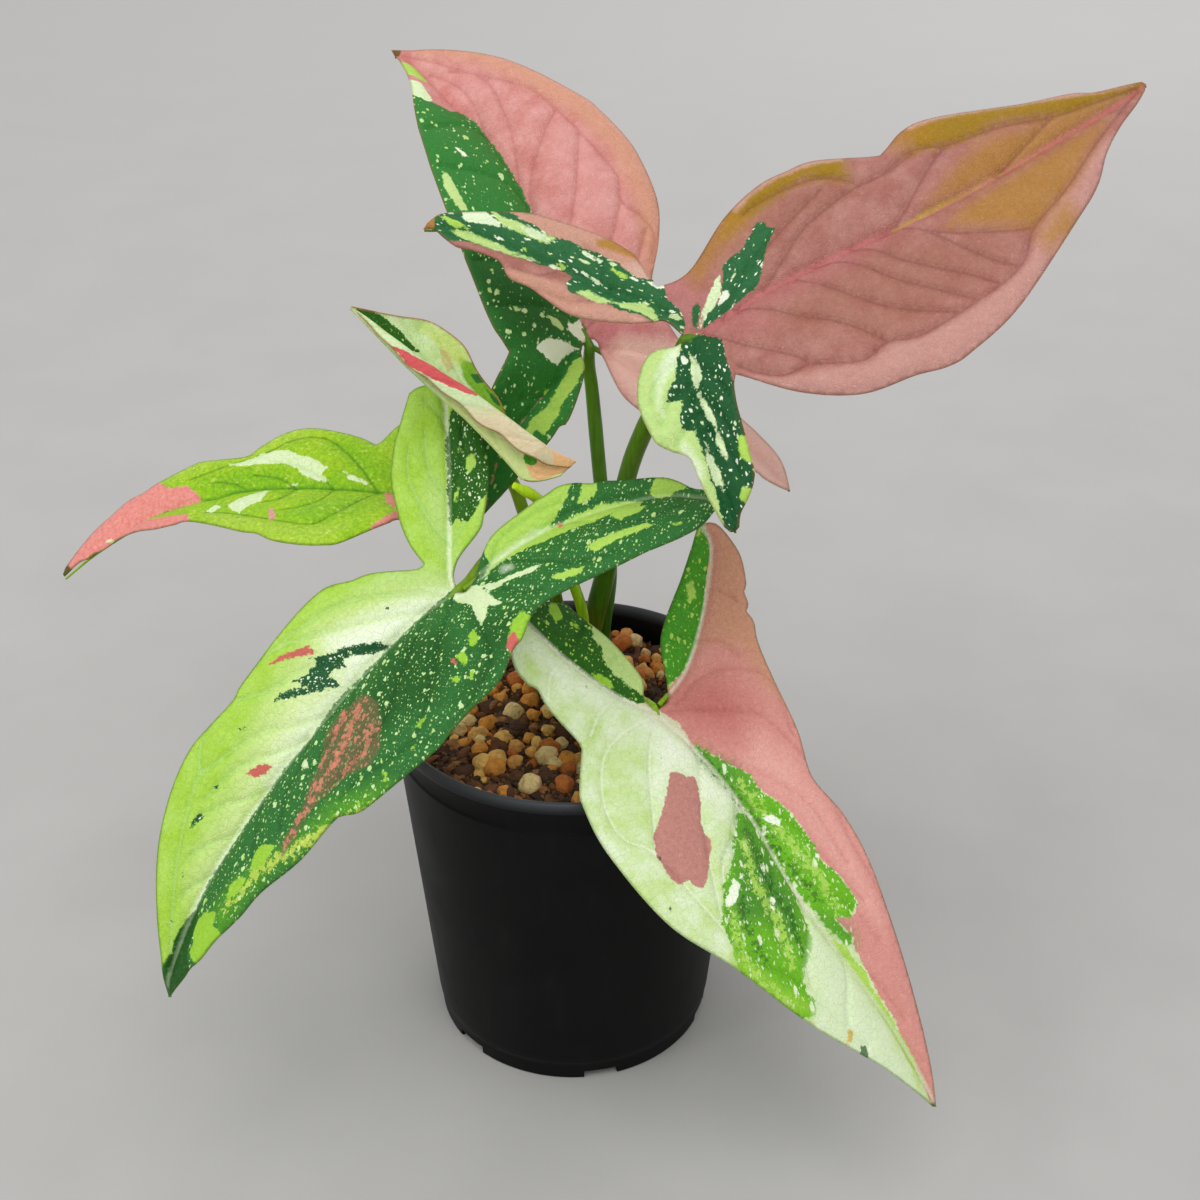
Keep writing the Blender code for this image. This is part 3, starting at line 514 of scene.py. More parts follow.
# Each open leaf: where its stalk meets it, where its tip ends, how far it rolls about the line between them
# and arches along it, how its halves rise from the ribs (cup, slope and droop), and how its ears rise.
# The outline lies on the flat leaf, x across and y towards the tip, from the tip round both ears.
bladeShapes = {
    "blade_back": {
        "junction": (6, 30, 248), "tip": (-59, 110, 320), "roll": -10, "arch": 25, "cup": 2.5, "slope": 0.28,
        "droop": 0.35, "rises": (-40, -12),
        "ribs": [
            [(0, 0), (6.5, 57), (7, 79), (3.5, 98), (1, 122), (-1.5, 125.5)], [(0, 0), (-5.5, -1.5), (-14, -6.5),
            (-37.5, -19), (-44.5, -32.5)], [(0, 0), (36, -49), (48, -71)],
        ],
        "outline": [
            [(-1.5, 125.5), (0.5, 126), (25.5, 103), (41, 77.5), (44, 69), (46, 59), (46.5, 49.5), (43.5, 32.5),
            (36.5, 20), (27.5, 9)], [(25, 2.5), (26.5, -8.5), (30, -23.5), (34.5, -36), (42, -49.5), (47, -60.5)],
            [(48, -71), (43, -68.5), (37.5, -64), (34.5, -60), (15.5, -42.5), (7.5, -34), (2.5, -27.5), (0, -21),
            (0.5, -13.5), (3, -2)], [(0.5, 1), (-3.5, -2), (-7, -9.5), (-17.5, -20.5), (-20.5, -21), (-25.5, -24)],
            [(-44.5, -32.5), (-44.5, -21), (-39.5, -5)], [(-28.5, 5.5), (-29.5, 9.5), (-30.5, 16), (-28.5, 32),
            (-22.5, 63.5), (-15, 88.5), (-5.5, 109.5)],
        ],
    },
    "blade_right": {
        "junction": (36, -15, 269), "tip": (172.5, 38, 331), "roll": 28, "arch": 20, "cup": 2.5, "slope": 0.1,
        "droop": 0.15, "rises": (20, -14),
        "ribs": [
            [(0, 0), (2.5, 4.5), (3, 29), (10, 85.5), (7.5, 140), (4, 160)], [(0, 0), (-15, -4.5), (-47, -23.5),
            (-67.5, -39.5), (-72.5, -47)], [(0, 0), (17.5, -9), (33.5, -14), (54.5, -22)],
        ],
        "outline": [
            [(4, 160), (3, 159), (0.5, 143.5), (-2.5, 136), (-7, 120), (-16.5, 96), (-17.5, 86.5), (-14.5, 78),
            (-15, 74.5), (-24, 60), (-26, 51.5), (-27, 42), (-24, 28.5), (-16, 11), (-18.5, 1)], [(-21, 1),
            (-22, 0.5), (-29.5, 1), (-34, 0), (-43, -4), (-56.5, -13.5), (-64, -21.5), (-73, -37.5),
            (-73.5, -43.5)], [(-72.5, -47), (-70.5, -44), (-64, -42.5), (-61.5, -41), (-59, -38), (-52.5, -33.5),
            (-46, -34), (-39, -30), (-25.5, -25), (-14.5, -14), (-10, -6.5), (-8.5, -3)], [(0, -1), (1, -4.5),
            (-1, -12), (3, -18.5), (11, -24), (21, -26), (25.5, -25.5), (31.5, -21), (34, -21), (41.5, -22.5),
            (52.5, -23.5)], [(54.5, -22), (54.5, -20.5), (52.5, -18), (51, -13), (48.5, -9), (44.5, -6.5),
            (26, 0.5)], [(21, 4), (38, 15.5), (49.5, 29), (54, 44), (57, 52.5), (57, 60.5), (52.5, 79.5),
            (37, 110.5), (30.5, 121.5), (22, 131), (15, 141.5), (9.5, 152)],
        ],
    },
    "blade_front_left": {
        "junction": (-35, -30, 190), "tip": (-119, -110, 97), "roll": -12, "arch": 30, "cup": 2.5, "slope": 0.2,
        "droop": 0.3, "rises": (28, 18),
        "ribs": [
            [(0, 0), (4, 23.5), (7.5, 104.5), (4, 141.5), (0, 151)], [(0, 0), (9, -7.5), (36.5, -43.5),
            (41, -45.5)], [(0, 0), (-6, -25), (-14.5, -39.5), (-26, -51.5), (-39.5, -60), (-58, -63.5)],
        ],
        "outline": [
            [(0, 151), (7, 143), (26.5, 114.5), (35, 89), (33, 68.5), (34, 61.5), (34.5, 37.5), (33.5, 26),
            (31.5, 21.5), (27.5, 17), (24, 11.5), (15, 3), (13.5, 0.5)], [(13.5, -1), (20.5, -3), (28, -7),
            (38, -15), (41.5, -20), (44, -25.5), (46.5, -37), (46.5, -39), (45, -41.5)], [(41, -45.5), (32.5, -47),
            (28, -46), (16, -38), (7.5, -24), (6, -19), (6, -6.5)], [(-0.5, 0), (-3, -3.5), (2, -20), (-1.5, -35.5),
            (-3.5, -41), (-5.5, -46), (-9, -49.5), (-14, -52.5), (-18.5, -56), (-34.5, -64), (-46, -64),
            (-50.5, -64.5)], [(-58, -63.5), (-58.5, -57.5), (-58, -52.5), (-54.5, -46.5), (-51, -42), (-45, -34),
            (-30, -9.5)], [(-32.5, 4.5), (-32.5, 8), (-36, 18.5), (-34.5, 31), (-34, 38.5), (-34, 46), (-28, 67.5),
            (-25.5, 73), (-22, 76), (-20.5, 79), (-18.5, 93.5), (-13, 107.5), (-11, 117), (-7.5, 127), (-6, 134),
            (-4, 138.5), (-3, 143)],
        ],
    },
    "blade_front_right": {
        "junction": (28, -30, 146), "tip": (116, -105, 46), "roll": 12, "arch": 20, "cup": 2.5, "slope": 0.12,
        "droop": 0.2, "rises": (20, 20),
        "ribs": [
            [(0, 0), (0.5, 6.5), (-1.5, 16.5), (-2, 46), (1, 76.5), (-1, 125), (0, 154.5)], [(0, 0), (2, -1),
            (8.5, -10.5), (26.5, -46)], [(0, 0), (-17, -4.5), (-34, -16.5), (-46.5, -30.5), (-46.5, -39)],
        ],
        "outline": [
            [(0, 154.5), (1, 153.5), (11, 132), (24.5, 107.5), (35.5, 79), (45, 56.5), (47, 29), (44, 13),
            (41, 7.5)], [(32, -2), (31.5, -5.5), (33.5, -17.5), (33.5, -24.5), (35.5, -26.5), (37, -31.5),
            (36.5, -35.5), (34, -40)], [(26.5, -46), (20.5, -47), (8, -43), (5, -38), (0, -26.5), (-2, -12.5),
            (-1, -8), (1.5, -4.5)], [(0, 1), (-7, -1.5), (-15, -17), (-32.5, -29)], [(-46.5, -39), (-51.5, -34.5),
            (-53.5, -24), (-50.5, -15), (-48.5, -13.5), (-47.5, -9.5)], [(-45.5, -8), (-45.5, -3.5), (-42, 4),
            (-34.5, 30), (-31, 38.5), (-27.5, 46), (-27, 52), (-28, 63.5), (-24.5, 84), (-10, 128.5)],
        ],
    },
    "blade_far_left": {
        "junction": (-47, 22, 198), "tip": (-174, 22, 165), "roll": -8, "arch": 40, "cup": 2, "slope": 0.15,
        "droop": 0.2, "rises": (0, 0),
        "ribs": [
            [(0, 0), (-2.5, 11.5), (7.5, 61), (7, 72), (8.5, 78.5), (9, 97.5), (5.5, 117), (-0.5, 133.5)], [(0, 0),
            (33.5, -10)], [(0, 0), (-15.5, -10), (-19.5, -14)],
        ],
        "outline": [
            [(0, 133.5), (2.5, 132.5), (12.5, 121.5), (16.5, 114.5), (20.5, 107.5), (21.5, 101.5), (23.5, 96.5),
            (26.5, 83.5), (27, 79.5), (24.5, 70), (23.5, 62.5), (27, 58), (31, 52), (33, 46), (32, 38.5),
            (25.5, 25)], [(21, 19), (22, 17), (33.5, 11), (44.5, 2), (46, -3.5), (41.5, -7.5)], [(33.5, -10),
            (6.5, -3)], [(0.5, -0.5), (-8.5, -6.5), (-13, -10.5)], [(-19.5, -14), (-26.5, -9.5), (-27.5, -4.5),
            (-22.5, 5), (-21.5, 9.5)], [(-23.5, 11.5), (-34.5, 25.5), (-35.5, 32), (-34, 39.5), (-30, 48),
            (-24.5, 54), (-21, 60.5), (-7, 79), (-6, 85), (-4, 93), (0.5, 101.5), (2, 109.5), (-1.5, 113.5),
            (3, 124.5)],
        ],
    },
}


def coat(colour, soft, wobble, strength, patches, marks=None, keepFlecks=False):
    # one painted layer: the width and unevenness of its border, and its flecks (paint, cover, size, stretch, angle)
    return {"colour": colour, "soft": soft, "wobble": wobble, "strength": strength, "patches": patches,
            "flecks": marks, "keepFlecks": keepFlecks}


# Each open leaf's veins and painted coats on the same flat leaf, the coats in painting order.
bladeVeins, bladeCoats = {}, {}
bladeVeins["blade_back"] = [
    [(7, 58.5), (13.5, 75), (16, 85.5), (17, 95.5), (14, 103), (9, 107.5)], [(5.5, 45), (8.5, 54.5), (16.5, 64),
    (23.5, 70.5), (31, 76)], [(3.5, 25), (12, 35.5), (19.5, 45), (32.5, 64.5)], [(1, 5.5), (22, 26), (30.5, 35.5)],
    [(6.5, 79.5), (8.5, 88), (9, 96.5), (7, 104), (3.5, 111)], [(1, 3.5), (13.5, 8), (25, 15.5), (34, 24.5)],
    [(30.5, 14), (36, 22), (35, 30), (32, 36.5), (34.5, 42.5), (35.5, 49), (31, 76), (26.5, 88.5), (14, 103),
    (0, 125)], [(1, 10.5), (-2, 20.5), (-6.5, 27), (-13.5, 31.5), (-25, 36)], [(5.5, 46.5), (4, 56.5), (-2, 63),
    (-17, 70.5)], [(7, 79.5), (1.5, 85), (-13.5, 86)], [(3, 27.5), (-3, 35.5), (-9.5, 42), (-24, 50)], [(0.5, 4),
    (-5, 11.5), (-13, 16), (-26.5, 20)], [(3, -3.5), (14, -10.5), (20.5, -16), (26.5, -23.5)], [(5, -6.5),
    (12.5, -21), (18.5, -38.5), (27.5, -52.5)], [(12, -16), (23.5, -22.5), (28.5, -33)], [(-13.5, -6.5),
    (-20, -9.5), (-28.5, -8)], [(-20, -9.5), (-19.5, -15.5)],
]
bladeCoats["blade_back"] = [
    coat("marginTan", 5, 1.5, 0.75, [
        [(4, 126), (27, 105), (37, 90), (46, 72), (49, 50), (46, 32), (38, 18), (29, 6), (25, 10), (36, 36),
        (38, 54), (34, 73), (26, 91), (16, 106), (5, 120)], [(44.5, -49), (50, -72), (41.5, -70.5), (25.5, -55)],
    ]),
    coat("rosePale", 9, 3, 0.55, [
        [(26, 78), (32, 66), (34, 52), (30, 36), (20, 25), (20, 36), (22, 54), (22, 68)], [(7, 110), (19, 91.5),
        (14.5, 81), (6, 102)],
    ]),
    coat("backGreen", 0.4, 0.8, 1, [
        [(-9, 107), (-10, 104), (-4.5, 96), (-0.5, 91.5), (5, 91.5), (7, 84), (7.5, 71.5), (7, 57.5), (1, 10.5),
        (2, 3), (-11, 0), (-31, 5.5), (-32, 24), (-27.5, 52), (-14.5, 95)], [(2, 3), (-13.5, -6.5), (-28.5, -13.5),
        (-37.5, -19), (-46.5, -34), (-47, -30.5), (-41.5, -3.5), (-31, 6.5)], [(2, 3), (-37.5, -19), (-45.5, -35),
        (-37, -32), (-22, -25), (-10.5, -17.5), (0, -3.5)],
    ], ("speck", 0.4, 3, 1.3, 60)),
    coat("deepGreen", 12, 2, 0.6, [
        [(-10, 2), (-31, 6), (-32, 24), (-29, 44), (-20, 46), (-10, 31), (-2, 11)], [(-20, -4), (-36, -11),
        (-45, -13), (-42, -4), (-31, 6)],
    ], keepFlecks=True),
    coat("cream", 0.3, 0.5, 1, [[(-7.5, 111.5), (-3, 106.5), (-4, 96.5), (-6.5, 96.5), (-10, 104)]]),
    coat("limePale", 0.4, 0.5, 1, [[(-5, 121.5), (1, 116), (1, 107.5), (-1, 107), (-6.5, 115.5)]]),
    coat("mistLime", 0.4, 0.7, 1, [
        [(-18.5, 68), (-17, 66), (-18, 52), (-20.5, 52.5), (-21, 56.5), (-21, 61.5)], [(-20.5, 18), (-18.5, 16.5),
        (-19, 15.5), (-21.5, 16)], [(-11, 11.5), (-8, 9.5), (-7, 6.5), (-8, 5.5), (-10.5, 8)],
    ]),
    # the back leaf's cream patches, partly their own cream and partly painted light: painted near white against the
    # shade on that part of the leaf
    coat("creamLight", 0.3, 0.7, 1, [
        [(-9, 75.5), (-7, 73.5), (-6, 70), (-8, 71.5)], [(-20, 3.5), (-17, 4.5), (-13.5, 4.5), (-10, 3), (-1, -3),
        (0.5, -2), (-5.5, -1), (-11, -2), (-13.5, -3.5), (-16, -1.5)], [(-4.5, 8.5), (-3, 6.5), (1.5, 8), (0, -1.5),
        (-5.5, 5)],
    ]),
    coat("limePale", 0.4, 0.8, 1, [
        [(-2, -4), (-2.5, -5.5), (-11, -11.5), (-16.5, -14.5), (-20, -18), (-25, -21), (-26, -18), (-36.5, -22),
        (-31, -18.5), (-26.5, -14.5), (-20.5, -13), (-8, -4)], [(-23, -8), (-17.5, -8.5), (-20, -9.5), (-23, -8.5)],
    ]),
    coat("roseDeep", 9, 2, 0.5, [[(22, -7), (14, -10), (0, -2), (2, 3), (9, 10)]]),
    # painted light: the back leaf's lower ear is painted very light pink, to cancel the shade that falls on it from the
    # leaves in front
    coat("earLight", 6, 1, 1, [
        [(4, -6), (10, -4), (28, -14), (34, -30), (52, -62), (50, -74), (36, -66), (2, -26), (1, -12)],
    ]),
    coat("tipBrown", 0.8, 0.3, 1, [[(-1.5, 128), (3, 127), (-5, 121.5), (-4.5, 123.5)]]),
]
bladeVeins["blade_right"] = [
    [(2, 15), (5, 19), (10, 23.5), (17.5, 28.5), (25.5, 35.5), (33, 40), (40.5, 43.5)], [(5, 34.5), (13.5, 40),
    (24, 45.5), (33.5, 52), (44.5, 64.5)], [(4.5, 41), (8, 47.5), (14, 52), (25.5, 57.5), (43.5, 70.5)], [(6, 53),
    (11.5, 58), (19, 61.5), (27, 67), (36.5, 74.5), (43.5, 79)], [(8, 61.5), (9, 68.5), (20, 78), (28.5, 89.5),
    (33, 97.5)], [(13.5, 72.5), (33.5, 81), (41.5, 86.5)], [(2, 4), (10, 8), (16.5, 12), (28, 20.5), (33, 22.5)],
    [(19.5, 6), (25.5, 9.5), (31, 15), (33, 22.5), (41, 34.5), (40.5, 43.5), (44.5, 53), (44, 76.5), (41, 88.5),
    (33, 97.5), (26.5, 113.5), (17.5, 130), (4.5, 156.5)], [(2, 25), (0.5, 29.5), (-6, 43.5), (-7.5, 49.5),
    (-9, 63), (-8, 73.5), (-9, 84)], [(7.5, 66.5), (5.5, 72), (-3, 87), (-6, 94.5)], [(10, 101), (2, 125.5)],
    [(-21.5, 33.5), (-22, 39), (-20, 52.5), (-16.5, 60), (-11, 65)], [(-8, 73.5), (-10, 83.5), (-8, 90.5),
    (-6, 94.5), (-3, 111), (1.5, 126), (3.5, 142.5), (4, 157)], [(2.5, 10.5), (-2.5, 18.5), (-6.5, 28),
    (-14.5, 56)], [(-27.5, -11), (-27, -18), (-31, -24), (-38, -28.5)], [(-41.5, -20), (-42.5, -26), (-48, -31)],
    [(-30, -13), (-36, -9), (-42.5, -10)], [(-47, -23.5), (-50, -19.5), (-56, -21)], [(7, -4), (6.5, -8.5),
    (9, -16), (13.5, -20.5)], [(14, -8), (15, -15), (20, -22)], [(22, -10.5), (27.5, -22)], [(7.5, -4.5),
    (15, -1.5), (24.5, -1)], [(17, -9), (25, -6.5), (36, -7)], [(27.5, -12), (35, -10), (44.5, -11.5)],
]
bladeCoats["blade_right"] = [
    coat("umberRose", 12, 4, 0.5, [
        [(14, 17), (28, 32), (40, 41), (42, 56), (40, 82), (32, 94), (12, 59), (10, 34)], [(-10, 64), (-4, 28),
        (-4, 22), (-14, 24), (-22, 51)],
    ]),
    coat("rosePink", 8, 3, 0.45, [
        [(1, 4), (9, 68), (12, 52), (8, 20), (16, 22), (12, 12)], [(-18, 10), (-6, 10), (0, -4), (-8, 2),
        (-21, -4)],
    ]),
    coat("roseLight", 3, 1, 0.6, [
        [(3.5, 162.5), (9.5, 156.5), (47, 97), (56, 78), (59.5, 54.5), (53.5, 32.5), (44.5, 18), (25, 4), (23.5, 5),
        (32, 14.5), (43, 36), (42, 43), (46, 54), (45, 77.5), (41.5, 89), (34.5, 98.5), (18.5, 131), (16, 145)],
    ]),
    coat("olive", 5, 2, 0.95, [
        [(-22, 69), (-12, 64), (-20, 54), (-20, 48), (-17, 24), (-28, 32), (-29, 39), (-28, 57)], [(-20, 88),
        (-17, 103), (-2, 144), (0, 159), (6, 161), (4, 132), (-4, 112), (-4, 100), (-9, 85)],
    ]),
    coat("oliveTan", 7, 2, 0.7, [
        [(-28, 34), (-19, 34), (-10, 10), (-14, 10), (-22, 17)], [(-19, 96), (-10, 92), (-10, 82), (-18, 78),
        (-20, 88)],
    ]),
    coat("oliveTan", 6, 2, 0.75, [
        [(8, 78), (2, 92), (-1, 104), (5, 144), (8, 135), (10, 115), (10, 96)], [(18, 79), (34, 98), (26, 117),
        (10, 141), (15, 85)], [(30, 111), (41, 108), (42, 96), (37, 96), (32, 105)], [(-14, 14), (-28, 4), (-40, 0),
        (-22, 3)],
    ]),
    coat("roseLight", 1.6, 0.8, 0.75, [
        [(-30, 31), (-31.5, 39), (-31.5, 48), (-30, 58), (-26, 66.5), (-22.5, 71), (-18.5, 66.5), (-21, 62),
        (-23.3, 55.5), (-25, 48), (-25, 39), (-23, 32)], [(-22, 86), (-21, 96), (-19, 104), (-8.5, 131.5),
        (-0.5, 160), (3, 156), (1.6, 145), (-2.6, 130), (-13, 102), (-15, 95), (-16, 88)],
    ]),
    coat("earGreen", 0.3, 0.8, 1, [
        [(-11.5, 39), (-8.5, 33.5), (-0.5, 26), (0.5, 23), (1.5, 3.5), (-1.5, 7.5), (-1.5, 10.5), (-3.5, 14.5),
        (-10.5, 20), (-11.5, 24.5), (-10.5, 25.5), (-15.5, 34.5), (-15.5, 37), (-13, 36.5)], [(-6, 7), (-4.5, 8),
        (0.5, 2.5), (-2, 2.5), (-5, 5)],
    ], ("white", 0.6, 2.6, 2.6, 111)),
    coat("cream", 0.3, 0.7, 1, [[(-9, 18), (-3.5, 14.5), (-1.5, 10.5), (-1, 7), (1, 3.5), (0.5, 2.5), (-6.5, 13)]]),
    coat("earTan", 2.5, 1, 0.9, [
        [(-73.5, -49.5), (-76, -38.5), (-66, -20), (-43.5, -1.5), (-29, 3.5), (-20, 3), (-21, -4), (-36, -9),
        (-46.5, -16.5), (-66, -35.5), (-67, -45.5), (-32.5, -31), (-23, -17), (-13.5, -8.5), (-2.5, -4),
        (-4.5, -4.5), (-16.5, -20.5), (-32, -31), (-46, -36.5), (-52, -36), (-64, -45)],
    ]),
    coat("roseTan", 2, 1, 0.9, [
        [(-68, -23.5), (-60.5, -13.5), (-50, -5.5), (-36.5, 1.5), (-26.5, 3.5), (-29.5, -3.5), (-60, -22)],
        [(-51, -36), (-44.5, -28), (-35.5, -21.5), (-28.5, -20.5), (-19, -12), (-7.5, -6.5), (-19.5, -23),
        (-43, -35.5)],
    ]),
    coat("oliveTan", 1.6, 0.8, 0.9, [
        [(-42.5, -6), (-38.5, 0.5), (-30.5, 3.5), (-22, 3), (-25, 3.5), (-39.5, -6.5)], [(-75.5, -37), (-71, -40.5),
        (-69, -46.5), (-75, -47), (-76.5, -42)],
    ]),
    coat("earGreen", 0.3, 0.8, 1, [
        [(-76, -39.5), (-74.5, -35), (-68, -23.5), (-60.5, -21), (-57, -18.5), (-51, -16.5), (-47.5, -13.5),
        (-38, -7.5), (-31, -4.5), (-24, -2.5), (-19.5, 3.5), (-13, 1), (-7.5, 2), (-4, 1.5), (1, -3.5), (-6.5, -5),
        (-13.5, -8), (-18.5, -12.5), (-22, -14), (-32.5, -21.5), (-35.5, -21), (-37, -18), (-41, -19.5),
        (-62, -37.5), (-66.5, -45), (-69, -46.5)],
    ], ("white", 0.7, 2.3, 3.6, 33)),
    coat("paleGreen", 0.5, 0.8, 1, [
        [(-70, -41), (-65.5, -36), (-47, -23.5), (-52, -29), (-64.5, -39)], [(-70.5, -27.5), (-63.5, -25),
        (-58.5, -21), (-48.5, -15), (-50, -18.5), (-61, -26.5)], [(-32, -20.5), (-30, -16.5), (-20.5, -11.5),
        (-24, -16)], [(-21.5, -12), (-18.5, -6), (-14.5, -4), (-6.5, -5), (-14, -7.5), (-19, -11.5)],
    ]),
    coat("mist", 0.3, 0.7, 1, [
        [(-73.5, -33.5), (-71, -29), (-63, -27), (-59, -24.5), (-68.5, -35.5)], [(-59, -22.5), (-54.5, -21.5),
        (-47.5, -15.5), (-57, -20)], [(-43.5, -12), (-39.5, -9.5), (-35, -8), (-36, -9.5), (-40.5, -11.5)],
        [(-36.5, -15), (-32.5, -12.5), (-29, -11.5), (-31.5, -13.5)],
    ]),
    coat("limePale", 0.3, 0.5, 1, [
        [(-33.5, -7.5), (-25.5, -4), (-26.5, -6), (-30.5, -7.5)], [(-44, -19.5), (-41, -17.5), (-40.5, -18.5),
        (-43, -20.5)], [(-54, -26), (-51, -23.5), (-51, -25)], [(-76.5, -42), (-68.5, -36.5), (-65.5, -35),
        (-68.5, -39)],
    ]),
    coat("paleGreen", 1, 0.5, 1, [
        [(-2, -2.5), (-2.5, -14.5), (3, -22), (11.5, -26.5), (18.5, -28.5), (27.5, -27), (32, -24), (35.5, -23.5),
        (42, -25), (48, -25.5), (55, -25), (57, -23), (26.5, -13.5), (19, -9), (10, -5)],
    ]),
    coat("mist", 2.5, 0.6, 1, [
        [(-2, -3), (7.5, -15.5), (13, -19), (18.5, -20), (13.5, -18), (10, -14.5), (6, -6)], [(27, -19),
        (32, -23.5), (43.5, -25.5), (37, -19)],
    ]),
    coat("darkGreen", 0.3, 1, 1, [
        [(1.5, 3), (9, 7), (23, 2), (34.5, 0), (45.5, -4), (52, -10), (57, -21.5), (55, -25), (45.5, -20.5),
        (26, -14.5), (25, -17.5), (21.5, -16.5), (17.5, -12.5), (15, -16.5), (12.5, -14.5), (11, -11), (5.5, -7.5),
        (3, -4), (0, -3.5)],
    ], ("white", 0.6, 2.4, 1.6, -22)),
    coat("cream", 0.4, 0.8, 1, [
        [(5, -3), (8, -2.5), (11.5, -3), (15.5, -4.5), (15.5, -7), (25, -7.5), (30, -9), (25.5, -10), (14, -7.5)],
        [(28.5, -9), (32.5, -9.5), (40.5, -12), (36.5, -12.5), (32, -11.5)], [(29.5, -14), (41, -16), (44.5, -18),
        (40.5, -18.5), (35, -17)],
    ]),
    coat("limePale", 0.5, 0.7, 1, [
        [(36, -6), (38.5, -1.5), (47.5, -5.5), (42, -8.5)], [(47.5, -13), (51.5, -9.5), (54, -14), (49.5, -15.5)],
    ]),
    coat("stemGreen", 0.6, 0.5, 1, [[(-1.5, -4), (-1, 1), (2.5, -0.5), (-1.5, -3.5), (-2, -2.5)]]),
    coat("gold", 0.9, 0.5, 0.8, [[(7.6, 66), (9.4, 92), (9.3, 116), (10.2, 92), (9.7, 78), (8.4, 66)]]),
]
bladeVeins["blade_front_left"] = [
    [(0, 2.5), (9.5, 9.5), (25, 25.5), (33.5, 50.5), (34.5, 57.5), (34.5, 78), (32, 85), (27.5, 91), (25.5, 98),
    (19, 114), (3.5, 144)], [(1, 7), (5.5, 14.5), (27.5, 41), (33.5, 50.5)], [(1.5, 48.5), (12.5, 64), (19, 70.5),
    (27.5, 91)], [(4.5, 26), (19, 46), (25, 58.5), (32, 67)], [(6, 63), (10.5, 71.5), (16.5, 79), (20, 87.5),
    (21.5, 96)], [(6.5, 81.5), (10.5, 88.5), (14.5, 92.5), (20, 100.5)], [(7.5, 98), (14.5, 109), (16, 114)],
    [(7, 112), (11, 121), (12, 125)], [(-1.5, 3), (-23, 39), (-25.5, 49), (-19, 65.5), (-17.5, 72.5)], [(2.5, 9),
    (-9.5, 37.5), (-14, 50), (-13, 72)], [(5.5, 40.5), (-0.5, 51.5), (-1.5, 62.5), (-3, 72.5)], [(6, 64), (2, 71.5),
    (0, 81), (-6, 90)], [(7.5, 85.5), (-3, 102)], [(-3, 2), (-17.5, 6.5), (-29, 14.5), (-32.5, 28), (-32, 41.5),
    (-25.5, 49)], [(12, -11.5), (21.5, -13.5), (34, -19.5), (39, -26)], [(20.5, -22.5), (30.5, -25.5),
    (37.5, -33.5)], [(12, -11.5), (12, -20), (15, -29)], [(22.5, -25), (23.5, -34), (28.5, -41)], [(30.5, -36.5),
    (35.5, -39.5), (41.5, -40)], [(-3, -13), (-0.5, -21.5), (-3.5, -33.5), (-8.5, -42.5)], [(-7.5, -28), (-11, -39),
    (-19.5, -49.5), (-30, -57)], [(-4.5, -16.5), (-18.5, -21), (-30.5, -26.5), (-39.5, -35.5)], [(-14.5, -39.5),
    (-25.5, -42), (-38.5, -47), (-46.5, -57)], [(-2, -9.5), (-17, -8), (-26, -12.5)],
]
